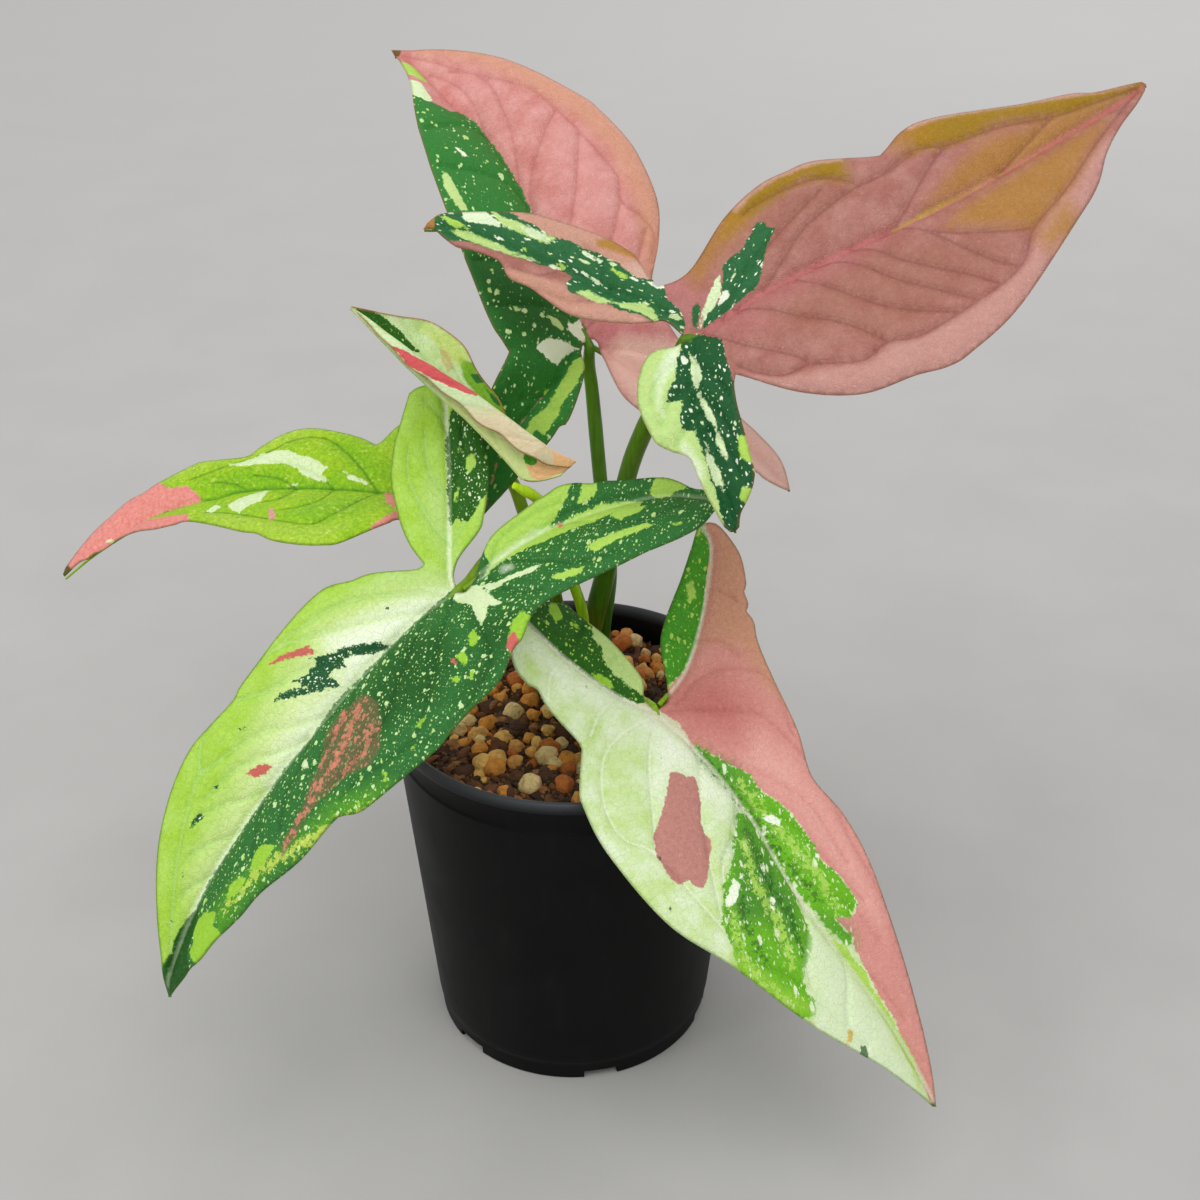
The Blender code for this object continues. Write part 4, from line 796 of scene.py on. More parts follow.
bladeCoats["blade_front_left"] = [
    coat("paleCream", 14, 3, 0.9, [
        [(0, -2), (4, 22), (6, 40), (8, 86), (6, 122), (10, 117), (14, 88), (19, 70), (24, 35), (21, 25), (12, 11),
        (5, 1)],
    ]),
    coat("white", 9, 2, 0.85, [
        [(0, -2), (4, 26), (8, 80), (10, 69), (10, 57), (8, 46), (11, 40), (20, 36), (8, 11)],
    ]),
    coat("paleGreen", 8, 2, 0.8, [
        [(2, -6), (16, -10), (26, -18), (28, -24), (21, -22), (12, -13)], [(0, -4), (13, 10), (23, 18), (20, 4)],
    ]),
    coat("brownRed", 0.4, 1, 1, [
        [(30, 53), (29.5, 49.5), (23, 40), (22, 42), (19.5, 40.5), (21, 43), (24.5, 46)], [(15, 83), (13.5, 78.5),
        (12, 77), (9.5, 76.5), (10, 79), (12, 82)],
    ]),
    coat("darkGreen", 0.3, 1.4, 1, [
        [(21, 60.5), (21, 57.5), (15, 51), (20.5, 53), (18, 48), (18.5, 46), (18, 43.5), (20.5, 44), (15, 37),
        (14.5, 35), (5.5, 25.5), (4.5, 27.5), (6.5, 31), (11, 36), (12.5, 39.5), (9.5, 39.5), (12.5, 42.5),
        (12, 44.5), (7.5, 45), (18.5, 58.5)], [(33, 86), (37.5, 86), (37.5, 85)], [(25, 73.5), (23.5, 71.5),
        (23, 72.5)], [(20, 99), (21, 102), (20, 105.5), (19.5, 105), (18.5, 100)], [(15, 119), (14.5, 117.5),
        (13.5, 119.5)], [(11.5, 130.5), (10, 130.5), (10.5, 132)], [(21.5, 91.5), (20, 90), (19.5, 91.5)],
        [(12.5, 18), (11.5, 17), (11, 18)], [(36.5, 29), (36.5, 28.5), (32, 30)],
    ], ("white", 0.6, 1.6, 1.3, 55)),
    coat("leafGreen", 0.3, 0.6, 1, [
        [(0.5, 153.5), (-6, 142), (-20.5, 96), (-24.5, 77.5), (-32.5, 61.5), (-36.5, 47), (-38, 23), (-34.5, 3),
        (-33.5, -12.5), (-48.5, -34.5), (-61, -55.5), (-60.5, -63.5), (-47, -66.5), (-26, -63), (-4, -48.5),
        (3, -31), (3.5, -15), (0, -4), (1, -2), (3, 12), (6.5, 51.5), (6, 64), (7, 74.5), (7.5, 115), (6.5, 123),
        (7, 136), (5.5, 140), (6, 148.5)],
    ], ("speck", 0.66, 1.8, 1.6, 112)),
    coat("limeDeep", 8, 2, 0.75, [
        [(-10, 128), (-9, 114), (-12, 99), (-28, 72), (-34, 59), (-28, 62), (-18, 73), (-14, 88), (-4, 108),
        (-2, 120)],
    ], keepFlecks=True),
    coat("limeYellow", 0.7, 5, 0.75, [
        [(-6, 118), (-9, 105), (-16, 92), (-23, 82), (-29, 70), (-27, 69), (-14, 90), (-7, 103), (-4.5, 116)],
    ]),
    coat("deepGreen", 9, 2, 0.7, [
        [(-8, 14), (-21, 20), (-24, 33), (-18, 44), (-9, 68), (-4, 58), (2, 23)], [(-32, -6), (-30, 10), (-33, 24),
        (-30, 30), (-26, 16), (-16, 6), (-22, -2)],
    ], keepFlecks=True),
    coat("brownRedDull", 0.8, 1, 0.75, [
        [(-1, 43.5), (-6.5, 43), (-12.5, 47), (-19, 54), (-19.5, 60), (-16, 64.5), (-14.5, 68.5), (-11.5, 82),
        (-13, 87), (-13.5, 96), (-10, 93), (-9.5, 81.5), (-5.5, 73), (-4.5, 67.5), (1, 60), (2, 52), (1, 47.5)],
    ], ("coralSpeck", 0.95, 2.2, 1.8, 112)),
    coat("coralSpeck", 0.3, 3.4, 0.65, [
        [(-3, 45), (-8, 56), (-10, 68), (-12, 92), (-11, 92), (-8.5, 68), (-6, 57), (-1.5, 46)], [(-12, 49),
        (-16, 57), (-13.5, 66), (-12.5, 66), (-14.5, 57), (-10.5, 50)], [(0, 50), (-5.5, 68), (-4.8, 68),
        (0.8, 51)],
    ]),
    coat("lime", 0.4, 1, 1, [
        [(-3.5, 120), (-4, 123.5), (-11, 124), (-7.5, 136.5), (-1.5, 135.5), (-0.5, 132), (2, 129), (2.5, 124),
        (-1, 121)], [(-9, 94), (-8.5, 101.5), (-6.5, 104.5), (-3.5, 101), (-3.5, 97), (-5.5, 95)], [(-7, 106.5),
        (-6, 111.5), (-4, 116), (-2, 111), (-4, 107.5)], [(-27, 50.5), (-27.5, 46.5), (-28.5, 48.5), (-27.5, 50)],
        [(-24, 44.5), (-23.5, 40), (-25, 39), (-25, 42.5)], [(-24, 59), (-26.5, 59), (-28, 61.5), (-32, 64.5)],
        [(-17, 9), (-21, 10.5), (-22, 14), (-19.5, 14), (-17, 11)], [(-18.5, 19), (-20, 17), (-23, 17.5),
        (-24.5, 20.5), (-21.5, 20)], [(-26.5, 21), (-27.5, 20), (-29.5, 23), (-28, 23)], [(-23, 25.5), (-25.5, 24),
        (-26.5, 25.5), (-24.5, 26.5)], [(-14, 3), (-14.5, 0.5), (-18, 3.5), (-15.5, 4)],
    ]),
    coat("cream", 0.3, 0.8, 1, [
        [(1, -2), (-0.5, -4.5), (-10, -4), (-17.5, -2.5), (-21.5, -6.5), (-17.5, -1), (-14.5, 0), (-17.5, 3.5),
        (-18, 5), (-16, 6), (-9, 2), (-1.5, 3)], [(0, -4), (-6.5, -5), (-11.5, -9.5), (-20.5, -21), (-19.5, -16),
        (-13.5, -9.5), (-12, -5)], [(2.5, 71), (2, 68.5), (-1.5, 70.5), (0, 72)],
    ]),
    coat("limePale", 0.4, 1, 1, [
        [(-5, -7.5), (-2.5, -13.5), (4, -17), (4, -25.5), (-0.5, -41), (-5.5, -49.5), (-7.5, -51), (-10, -44),
        (-10, -33.5), (-6.5, -24)], [(-3, -18.5), (-5.5, -25.5), (-14, -40), (-20, -48.5), (-28, -54), (-33.5, -55),
        (-33.5, -52.5), (-26.5, -46), (-6, -17)], [(-29, -31), (-31.5, -35.5), (-36.5, -41.5), (-41.5, -46),
        (-45, -46.5), (-37, -37.5), (-33, -31)], [(-26, -17.5), (-30, -22.5), (-34, -26), (-33.5, -22),
        (-29, -17.5)], [(-14, -55.5), (-17.5, -50), (-13.5, -44), (-13, -47.5), (-10.5, -53)], [(-26, -45.5),
        (-29, -50), (-35.5, -53), (-36, -50), (-32, -45)], [(-48.5, -48.5), (-52.5, -51.5), (-52.5, -49.5)],
        [(-49, -67), (-42, -62.5), (-37, -58), (-33, -58), (-31, -65.5), (-36, -67), (-45.5, -66.5)],
    ]),
    coat("white", 3, 0.6, 0.8, [
        [(-4.5, -8), (-3.5, -15), (-10, -33.5), (-7.5, -30.5), (-4.5, -21.5), (-3, -14.5)], [(-8, -14),
        (-10.5, -15.5), (-12, -14.5), (-10, -12.5)],
    ]),
    coat("lime", 0.6, 0.8, 1, [[(-26, -3.5), (-26, 0.5), (-29, 6.5), (-37, 13.5), (-31.5, -4)]]),
    coat("coral", 0.4, 0.7, 1, [
        [(-28, 4), (-29.5, 3.5), (-35, 6.5), (-36, 9.5), (-30.5, 9)], [(-19, 20.5), (-20.5, 20), (-21.5, 21.5),
        (-19, 21.5)], [(-11.5, -36.5), (-12.5, -38), (-14, -37), (-13.5, -35)],
    ]),
    coat("earDark", 0.3, 1.2, 1, [
        [(36, -49), (31.5, -49.5), (22, -45.5), (10.5, -35.5), (7.5, -30), (10.5, -23), (11, -20), (14.5, -19),
        (16, -16.5), (23, -24.5), (31, -35.5)], [(41, -48), (38.5, -48.5), (36.5, -44), (38, -43)],
    ], ("mist", 0.5, 1.6, 1.3, -50)),
    coat("limePale", 0.4, 0.8, 1, [
        [(21, -37.5), (19, -35.5), (19, -32), (21, -32.5), (23, -35.5)], [(19.5, -23), (20.5, -27.5), (19, -26),
        (18, -23)], [(26.5, -36), (23.5, -37.5), (25.5, -35)], [(10.5, -35.5), (5.5, -25.5), (8.5, -18.5),
        (10, -21), (11.5, -27.5)],
    ]),
    coat("deepGreen", 0.5, 0.8, 0.9, [
        [(6, 122), (7, 129), (7, 135.5), (6, 139.5), (6.5, 148), (2.5, 152), (-5, 145.5), (-6, 140), (-0.5, 136),
        (3, 126)],
    ]),
]
bladeVeins["blade_front_right"] = [
    [(1.5, 2), (14, 1), (24, 2.5), (30.5, 6.5), (37, 14.5), (40, 23.5), (39, 30), (34.5, 38), (30.5, 71),
    (27.5, 81.5), (20.5, 94.5), (12, 123.5)], [(2, 2.5), (11, 9), (19, 17), (34.5, 38)], [(-1, 15.5), (0, 21.5),
    (7.5, 30), (16, 40.5), (29.5, 65.5)], [(-2, 39), (7.5, 47.5), (14, 50), (20, 55), (29.5, 70)], [(-1, 57.5),
    (4.5, 64.5), (14.5, 73.5), (17.5, 84.5)], [(1, 77), (6, 84.5), (13, 91), (16.5, 98)], [(0.5, 100), (5, 105.5),
    (11, 111), (14, 116)], [(-1.5, 2), (-20, 16), (-27, 23.5), (-29.5, 45), (-28, 57), (-24.5, 71.5), (-23, 85.5),
    (-19.5, 101), (-7, 139)], [(-6, 3), (-16.5, 0.5), (-25.5, 2), (-34, 8), (-37.5, 16.5), (-31, 33.5)],
    [(-2.5, 21), (-15.5, 41), (-20, 52), (-20.5, 61), (-19, 75.5)], [(-2, 41.5), (-9, 49.5), (-12, 58.5),
    (-16, 88.5)], [(0, 69), (-5.5, 77.5), (-11, 86.5), (-13, 101)], [(0.5, 97), (-3, 103.5), (-5, 114.5),
    (-5.5, 126)], [(-27.5, -10), (-32.5, -5.5), (-34, 2)], [(-38.5, -21.5), (-42.5, -18), (-44.5, -13)],
    [(-27.5, -10), (-23.5, -13.5), (-18, -14.5)], [(-39, -21.5), (-35.5, -24.5), (-29, -24)], [(8.5, -10.5),
    (19, -8), (26.5, -4)], [(17.5, -28.5), (26.5, -26), (32, -20)], [(12, -15.5), (7.5, -19), (1.5, -21)],
    [(18.5, -31), (11.5, -31.5), (4, -35)],
]
bladeCoats["blade_front_right"] = [
    coat("whiteGreen", 12, 2, 0.85, [
        [(20, 0), (10, 8), (14, 14), (22, 21), (6, 23), (8, 33), (6, 40), (-2, 39), (0, 4), (7, 0)], [(2, 0),
        (26, -34), (26, -21), (16, -10)],
    ]),
    coat("mistLime", 10, 3, 0.55, [
        [(30, 8), (25, 19), (32, 30), (40, 28), (38, 18)], [(50, 38), (49, 47), (43, 69), (49, 48)], [(12, 4),
        (17, 12), (30, 16), (32, 10), (23, 2)],
    ]),
    coat("pinkPatch", 0.3, 0.8, 1, [
        [(11, 20.5), (9.5, 23.5), (6, 25.5), (10, 32.5), (15, 38), (16.5, 42), (16, 44.5), (25.5, 53), (29, 54.5),
        (30.5, 52), (31, 49), (34, 50), (35.5, 47), (34.5, 38), (31, 32.5), (24, 28.5), (13, 20)],
    ]),
    coat("blushMid", 0.35, 1, 1, [
        [(2.5, 156), (-3, 154), (-21.5, 103.5), (-29, 74.5), (-30, 47), (-41, 17), (-49, -8), (-55, -20),
        (-55, -32), (-49, -40), (-46.5, -31), (-34, -16.5), (-25, -9), (-17, -5), (0, -1.5), (-2.5, 9),
        (-1.5, 16.5), (-10, 35.5), (-9, 40.5), (-11.5, 46.5), (-13, 52.5), (-13, 65), (-11.5, 70), (-14, 77.5),
        (-13.5, 87.5), (-10.5, 90), (-4, 86.5), (-5.5, 95.5), (-4.5, 97), (-2.5, 118.5), (-3, 124), (-1.5, 129),
        (0, 144.5)],
    ]),
    coat("blushTan", 7, 2, 0.85, [
        [(-48, -41), (-56, -30), (-55, -20), (-49, -8), (-39, 24), (-35, 18), (-36, 1), (-32, -6), (-28, -8),
        (-40, -20), (-47, -30)],
    ]),
    coat("blushLow", 12, 3, 0.8, [
        [(-18, 26), (-24, 39), (-22, 73), (-16, 96), (-15, 88), (-16, 70), (-16, 50), (-11, 34)],
    ]),
    coat("blushDeep", 14, 2, 0.75, [[(0, -2), (-13, -1), (-24, 4), (-26, 17), (-15, 24), (-5, 14)]]),
    coat("limeGreen", 0.3, 1.6, 1, [
        [(-2, 16.5), (-10, 35.5), (-9, 40.5), (-11.5, 46.5), (-13, 52.5), (-13, 65), (-11.5, 70), (-14, 77.5),
        (-13.5, 87.5), (-8.5, 89.5), (-4, 86.5), (-5.5, 96), (-3, 96.5), (-1, 89.5), (0, 75), (0, 66.5), (-1.5, 57),
        (-2, 46), (-1.5, 24.5)], [(1, 42), (-2, 46), (-1.5, 57), (2, 75.5), (4.5, 79.5), (4.5, 83.5), (8, 89),
        (18, 94.5), (20, 98), (18.5, 102), (22, 105.5), (29, 103), (36, 84.5), (30, 66), (22, 57.5), (14, 53)],
    ], ("mist", 0.8, 2.3, 2.4, 62)),
    coat("midGreen", 7, 2, 0.7, [
        [(1, 42), (-1, 46), (0, 58), (3, 76), (10, 85), (16, 84), (17, 74), (24, 71), (27, 66), (18, 58), (9, 48)],
        [(-2, 18), (-8, 32), (-8, 40), (-4, 40), (0, 24)], [(-1, 83.5), (-6.5, 93), (-5, 97), (-2, 92)],
    ], keepFlecks=True),
    coat("lime", 3, 1, 0.6, [
        [(32.5, 73), (25.5, 93.5), (21.5, 100), (22, 105.5), (31, 98), (38, 79.5)],
    ], keepFlecks=True),
    coat("limePale", 0.5, 5, 0.85, [
        [(4, 50), (11, 62), (12, 76), (18, 90), (20, 90), (15, 76), (14, 62), (7, 50)], [(-7, 86), (-5.5, 86),
        (-6.5, 75), (-4.5, 34), (-6, 34), (-8, 55), (-9, 75)], [(23, 62), (29, 74), (31, 86), (26, 99), (27.5, 99),
        (32.5, 86), (30.5, 73), (25, 62)],
    ]),
    coat("deepGreen", 0.8, 5, 0.6, [
        [(2, 48), (7, 62), (8, 78), (13, 90), (14, 90), (10, 78), (9, 62), (4, 48)], [(-4, 80), (-3, 80), (-2, 62),
        (-2, 40), (-1, 20), (-2, 20), (-3.5, 40), (-3, 62)], [(18, 60), (24, 72), (25, 84), (26, 84), (25.5, 72),
        (19.5, 60)],
    ]),
    coat("white", 0.3, 0.8, 1, [
        [(18, 57.5), (17, 59.5), (20.5, 63), (25, 64), (26, 62.5)], [(16.5, 58.5), (14, 58), (15.5, 59.5)],
        [(9.5, 68.5), (10, 71), (12.5, 73.5), (13, 72)], [(-4.5, 47.5), (-8, 49.5), (-8.5, 53), (-7, 54), (-5, 50)],
        [(2, 59.5), (1, 61.5), (3, 63)], [(-12, 67), (-12.5, 69.5), (-10.5, 68.5)],
    ]),
    coat("limePale", 0.4, 1, 1, [
        [(1.5, 76.5), (0, 90.5), (-2.5, 97), (-2.5, 102), (-3.5, 106.5), (-2, 110.5), (-2.5, 118.5), (-1.5, 138),
        (-0.5, 144), (-2.5, 155), (1.5, 138.5), (0.5, 125.5), (0.5, 100)],
    ]),
    coat("mist", 5, 1, 0.8, [[(4, 86), (1, 114), (2, 132), (6, 150), (20, 121), (22, 106), (14, 98), (16, 94)]]),
    coat("earDark", 0.4, 0.8, 1, [
        [(-1.5, -2.5), (4, -4.5), (8.5, -10.5), (21, -35.5), (29, -47.5), (19, -49.5), (7, -45), (-0.5, -32),
        (-4.5, -13.5)],
    ], ("limePale", 0.65, 2.4, 1.2, -55)),
    coat("paleGreen", 0.5, 1.2, 1, [
        [(1, -35.5), (-3.5, -24), (-4.5, -14), (-2.5, -5.5), (-0.5, -3), (4, -11), (6, -17), (6, -22), (4.5, -25.5),
        (5.5, -29)],
    ]),
    coat("lime", 0.5, 0.8, 1, [
        [(15.5, -42.5), (10, -46.5), (11.5, -39), (15, -38.5)], [(12.5, -21), (8.5, -17.5), (8, -12),
        (11.5, -16.5)], [(8.5, -37.5), (7, -34), (9.5, -34.5)],
    ]),
    coat("greenBright", 0.35, 0.8, 1, [
        [(0, -1.5), (-5, -3), (-17.5, -5), (-25.5, -9.5), (-34, -16.5), (-46.5, -31), (-47.5, -35), (-47, -41.5),
        (-24.5, -27.5), (-12.5, -18), (-5.5, -4)],
    ], ("limePale", 0.8, 2.6, 1.2, 38)),
    coat("limePale", 0.6, 0.8, 1, [
        [(-6, -5), (-11, -3.5), (-5, -2.5)], [(-32, -26), (-35.5, -26), (-33.5, -21), (-30.5, -22)],
        [(-43.5, -40.5), (-45.5, -35.5), (-39.5, -37)],
    ]),
    coat("darkGreen", 0.3, 0.7, 0.85, [
        [(17.5, -18), (16, -17), (17.5, -16.5)], [(26, -17), (25, -16.5), (26, -16.5)], [(11, 13.5), (11.5, 15),
        (12.5, 15.5)], [(41.5, 52), (41, 53), (42.5, 54)], [(32, -36), (30.5, -34), (32, -34)], [(34, -4),
        (34.5, -3), (34, -4)], [(13.5, 121.5), (12, 124), (16, 128), (17.5, 125.5)], [(34, 38.5), (33.5, 39),
        (34.5, 40)], [(38, 11.5), (37, 12), (38, 12.5)],
    ]),
    coat("ochreSpot", 0.6, 0.8, 0.8, [[(14.5, 115.5), (12.5, 117), (15, 118.5), (20.5, 120)]]),
    coat("tipBrown", 1.2, 0.4, 1, [[(5, 151), (-3, 154), (0, 157), (4, 153)]]),
]
bladeVeins["blade_far_left"] = [
    [(-1, 17), (13.5, 25.5), (24, 33.5), (27.5, 40.5), (27, 48), (22.5, 58), (19.5, 83)], [(-2.5, 16.5),
    (-18.5, 30), (-22.5, 40), (-3.5, 74)], [(0.5, 31), (7.5, 36.5), (13.5, 43.5), (18.5, 52.5)], [(0.5, 31),
    (-8, 35), (-11.5, 41), (-12.5, 47.5)], [(4, 44.5), (9.5, 50.5), (13.5, 59.5)], [(3, 44), (-4, 48.5), (-5, 55)],
    [(7.5, 61), (11.5, 66.5), (14.5, 73.5)],
]
bladeCoats["blade_far_left"] = [
    coat("limeDeep", 6, 2, 0.7, [
        [(17, 78), (16, 61), (9, 44), (0, 13), (-2, 13), (-2, 29), (8, 76)], [(22, 30), (15, 20), (3, 12), (4, 20),
        (12, 28)], [(-8, 19), (-20, 24), (-23, 34), (-18, 44), (-10, 41)],
    ]),
    coat("limeYellow", 5, 2, 0.7, [
        [(26, 96), (30, 80), (26, 63), (35, 49), (32, 34), (21, 58), (22, 76), (20, 89)], [(-2, 76), (-26, 40),
        (-26, 24), (-38, 32), (-32, 50), (-18, 68)],
    ]),
    coat("farLime", 2, 0.5, 0.55, [
        [(0, 130), (30, 110), (36, 40), (50, 0), (0, -20), (-40, 0), (-40, 60), (-10, 100)],
    ], ("limeYellow", 0.5, 2.6, 1.5, 50)),
    coat("roseCoral", 0.4, 1, 1, [
        [(-1.5, 136), (9.5, 128.5), (19, 114.5), (26, 98), (18, 90.5), (16.5, 84), (8.5, 77.5), (9.5, 94.5),
        (8.5, 98.5), (8.5, 105.5), (-3.5, 79.5), (-10, 79.5), (-6.5, 93.5), (-1, 106.5), (-3, 116.5)], [(-1.5, 15),
        (-2, 12), (-8.5, 9), (-16, 10.5), (-11, 13.5)], [(-34, 20.5), (-25, 16), (-17, 9.5), (-24.5, 7)],
    ]),
    coat("cream", 0.3, 0.8, 1, [
        [(22, 70), (21, 65), (23, 57.5), (23, 53), (21, 47.5), (18, 44), (16, 40), (10.5, 34), (8, 36), (4.5, 33),
        (5.5, 37), (8.5, 42), (12.5, 45), (15.5, 49), (18.5, 65)], [(4.5, 53), (-3.5, 54.5), (-10.5, 61), (-8, 64),
        (-3.5, 66), (-0.5, 62.5)], [(8, 29), (3.5, 21.5), (0.5, 18), (4, 26.5)], [(5.5, 117.5), (7, 113.5),
        (-0.5, 109.5)], [(7, 47), (5.5, 43.5), (5, 44.5)], [(-3, 74), (-0.5, 70.5), (-4, 68), (-5, 71.5)],
    ]),
    coat("rosePale", 0.4, 0.7, 1, [[(-10.5, 51), (-12, 49.5), (-18, 48), (-17.5, 50.5)]]),
    coat("tipBrown", 0.8, 0.3, 1, [[(-2.5, 133.5), (3, 135), (5.5, 132.5), (-1, 129)]]),
]

leafSettings = {
    "ribSoftness": 3.0, "cupWidth": 9.0, "blendAcross": 0.45, "thickness": 0.55, "spacing": 1.25, "edgeStep": 1.2,
    "groove": 0.28, "grooveWidth": 0.8, "ribGroove": 0.5, "ribGrooveWidth": 1.4, "swellVein": 2.6, "swellRib": 4,
    "swellEdge": 3, "netSize": 2.4, "veinWidth": 0.6, "ribWidth": 1.2, "ribTopWidth": 1.0, "marginWidth": 0.8,
    "shadeWidth": 0.9, "crease": 2.2, "grainTone": 0.12, "fleckMix": "limePale",
}
bladeLooks = {
    "blade_back": {
        "base": "rose", "base2": "rosePale", "under": (216, 166, 148), "swell": 1.3, "net": 0.2, "mottle": 0.2,
        "veinsAt": 2, "vein": 0.22, "veinColour": (178, 98, 94), "veinShade": 0.05,
        "rib": 0.4, "ribTop": 0, "ribColour": (206, 124, 116), "margin": 0.35, "marginColour": (150, 100, 62),
    },
    "blade_right": {
        "base": "duskyRose", "base2": "duskyPale", "under": (210, 160, 140), "swell": 1.5, "net": 0.2, "mottle": 0.22,
        "veinsAt": 7, "vein": 0.35, "veinColour": (140, 74, 70), "veinShade": 0.06,
        "rib": 0.6, "ribTop": 0, "ribColour": (188, 100, 104), "margin": 0.35, "marginColour": (140, 90, 60),
    },
    "blade_front_left": {
        "base": "leafLime", "base2": "limePale", "under": (186, 208, 142), "swell": 0.9, "net": 0.14, "mottle": 0.3,
        "veinsAt": 3, "vein": 0.28, "veinColour": (214, 238, 168), "veinShade": 0.09,
        "rib": 0.7, "ribTop": 0.2, "ribColour": (226, 240, 200), "margin": 0.5, "marginColour": (66, 104, 36),
    },
    "blade_front_right": {
        "base": "mist", "base2": "mistLime", "under": (190, 212, 150), "swell": 0.9, "net": 0.2, "mottle": 0.3,
        "veinsAt": 2, "vein": 0.6, "veinColour": (240, 248, 220), "veinShade": 0.06,
        "rib": 0.7, "ribTop": 0.55, "ribColour": (226, 228, 202), "margin": 0.45, "marginColour": (92, 112, 54),
    },
    "blade_far_left": {
        "base": "farLime", "base2": "farYellow", "under": (172, 202, 108), "swell": 0.8, "net": 0.12, "mottle": 0.7,
        "veinsAt": 3, "vein": 0.5, "veinColour": (72, 134, 16), "veinShade": 0.08,
        "rib": 0.7, "ribTop": 0, "ribColour": (60, 130, 20), "margin": 0.4, "marginColour": (96, 116, 44),
    },
}

def smoothLine(points, step):
    # points about a step apart on the smooth curve through the given points
    p = [np.array(q, float) for q in points]
    p = [2 * p[0] - p[1]] + p + [2 * p[-1] - p[-2]]
    line = []
    for a, b, c, d in zip(p, p[1:], p[2:], p[3:]):
        count = max(1, round(float(np.linalg.norm(c - b)) / step))
        for k in range(count):
            t = k / count
            bent = (2 * a - 5 * b + 4 * c - d) * t**2 + (3 * b - a - 3 * c + d) * t**3
            line.append(0.5 * (2 * b + (c - a) * t + bent))
    line.append(p[-2])
    return line


def outlineOf(shape, step):
    stretches, line = shape["outline"], []
    for stretch, following in zip(stretches, stretches[1:] + stretches[:1]):
        line += smoothLine(stretch + [following[0]], step)[:-1]
    return np.array(line)


def distanceTo(line, x, y):
    nearest = np.full(np.shape(x), 1e9)
    for (x0, y0), (x1, y1) in zip(line, line[1:]):
        ux, uy = x1 - x0, y1 - y0
        k = np.clip(((x - x0) * ux + (y - y0) * uy) / (ux * ux + uy * uy + 1e-12), 0, 1)
        nearest = np.minimum(nearest, np.hypot(x - x0 - k * ux, y - y0 - k * uy))
    return nearest


def inside(outline, x, y):
    found = np.zeros(np.shape(x), bool)
    for (x0, y0), (x1, y1) in zip(outline, np.roll(outline, -1, axis=0)):
        if y0 != y1:
            found ^= ((y0 > y) != (y1 > y)) & (x < x0 + (y - y0) * (x1 - x0) / (y1 - y0))
    return found


def closedLine(points):
    points = np.array(points, float)
    return np.vstack([points, points[:1]])


def patchDistance(patches, x, y):
    # how far inside the nearest of the patches each point lies, negative outside
    best = np.full(np.shape(x), -1e9)
    for patch in patches:
        away = distanceTo(closedLine(patch), x, y)
        best = np.maximum(best, np.where(inside(np.array(patch, float), x, y), away, -away))
    return best


# Shares of the spacing: between the rows of a mesh's points, and kept free at its outline and its lines.
gapSettings = {"rows": 0.87, "outline": 0.5, "lines": 0.42}


def triangulated(outline, lines, spacing):
    # flat points and triangles that fill an outline, with edges along the lines
    low, high = outline.min(axis=0), outline.max(axis=0)
    grid = []
    for n, y in enumerate(np.arange(low[1], high[1], spacing * gapSettings["rows"])):
        for x in np.arange(low[0] + (n % 2) * spacing / 2, high[0], spacing):
            grid.append((x, y))
    grid = np.array(grid)
    border = closedLine(outline)
    edgeGap, lineGap = spacing * gapSettings["outline"], spacing * gapSettings["lines"]
    keep = inside(outline, *grid.T) & (distanceTo(border, *grid.T) > edgeGap)
    points = [tuple(p) for p in outline]
    edges = [(i, (i + 1) % len(outline)) for i in range(len(outline))]
    for line in lines:
        dense = np.array(smoothLine(line, spacing))
        good = inside(outline, *dense.T) & (distanceTo(border, *dense.T) > edgeGap)
        keep &= distanceTo(dense, *grid.T) > lineGap
        last = None
        for p, fits in zip(dense, good):
            if fits and last is not None:
                edges.append((last, len(points)))
            last = len(points) if fits else None
            if fits:
                points.append(tuple(p))
    points += [tuple(p) for p in grid[keep]]
    flat, _, faces, _, _, _ = delaunay_2d_cdt([Vector(p) for p in points], edges, [], 1, 1e-3)
    return np.array([tuple(p) for p in flat]), faces


def frameOf(shape):
    # a blade's junction, its axes across, along and above there, and its main lobe's length
    start = np.array(shape["junction"], float)
    chord = np.array(shape["tip"], float) - start
    span = float(np.linalg.norm(chord))
    chord /= span
    above = np.array([0.0, 0.0, 1.0])
    above -= chord * (above @ chord)
    above /= np.linalg.norm(above)
    across = np.cross(chord, above)
    roll = math.radians(shape["roll"])
    above = above * math.cos(roll) + across * math.sin(roll)
    across = np.cross(chord, above)
    half = math.radians(shape["arch"]) / 2
    along = chord * math.cos(half) + above * math.sin(half)
    above = above * math.cos(half) - chord * math.sin(half)
    return start, across, along, above, span * half / math.sin(half)


def heightOn(shape, x, y):
    distances = [distanceTo(rib, x, y) for rib in shape["ribs"]]
    soft = leafSettings["ribSoftness"]
    d = np.maximum(-soft * np.log(sum(np.exp(-q / soft) for q in distances)), 0)
    cup = shape["cup"] * (1 - np.exp(-d / leafSettings["cupWidth"]))
    z = cup + shape["slope"] * d - shape["droop"] * d * d / 100
    for rib, rise in zip(shape["ribs"][1:], shape["rises"]):
        earX, earY = rib[-1]
        span = math.hypot(earX, earY)
        reach = (x * earX + y * earY) / span - leafSettings["blendAcross"] * abs(x * earY - y * earX) / span
        z = z + rise * (np.maximum(reach, 0) / span) ** 2
    return z


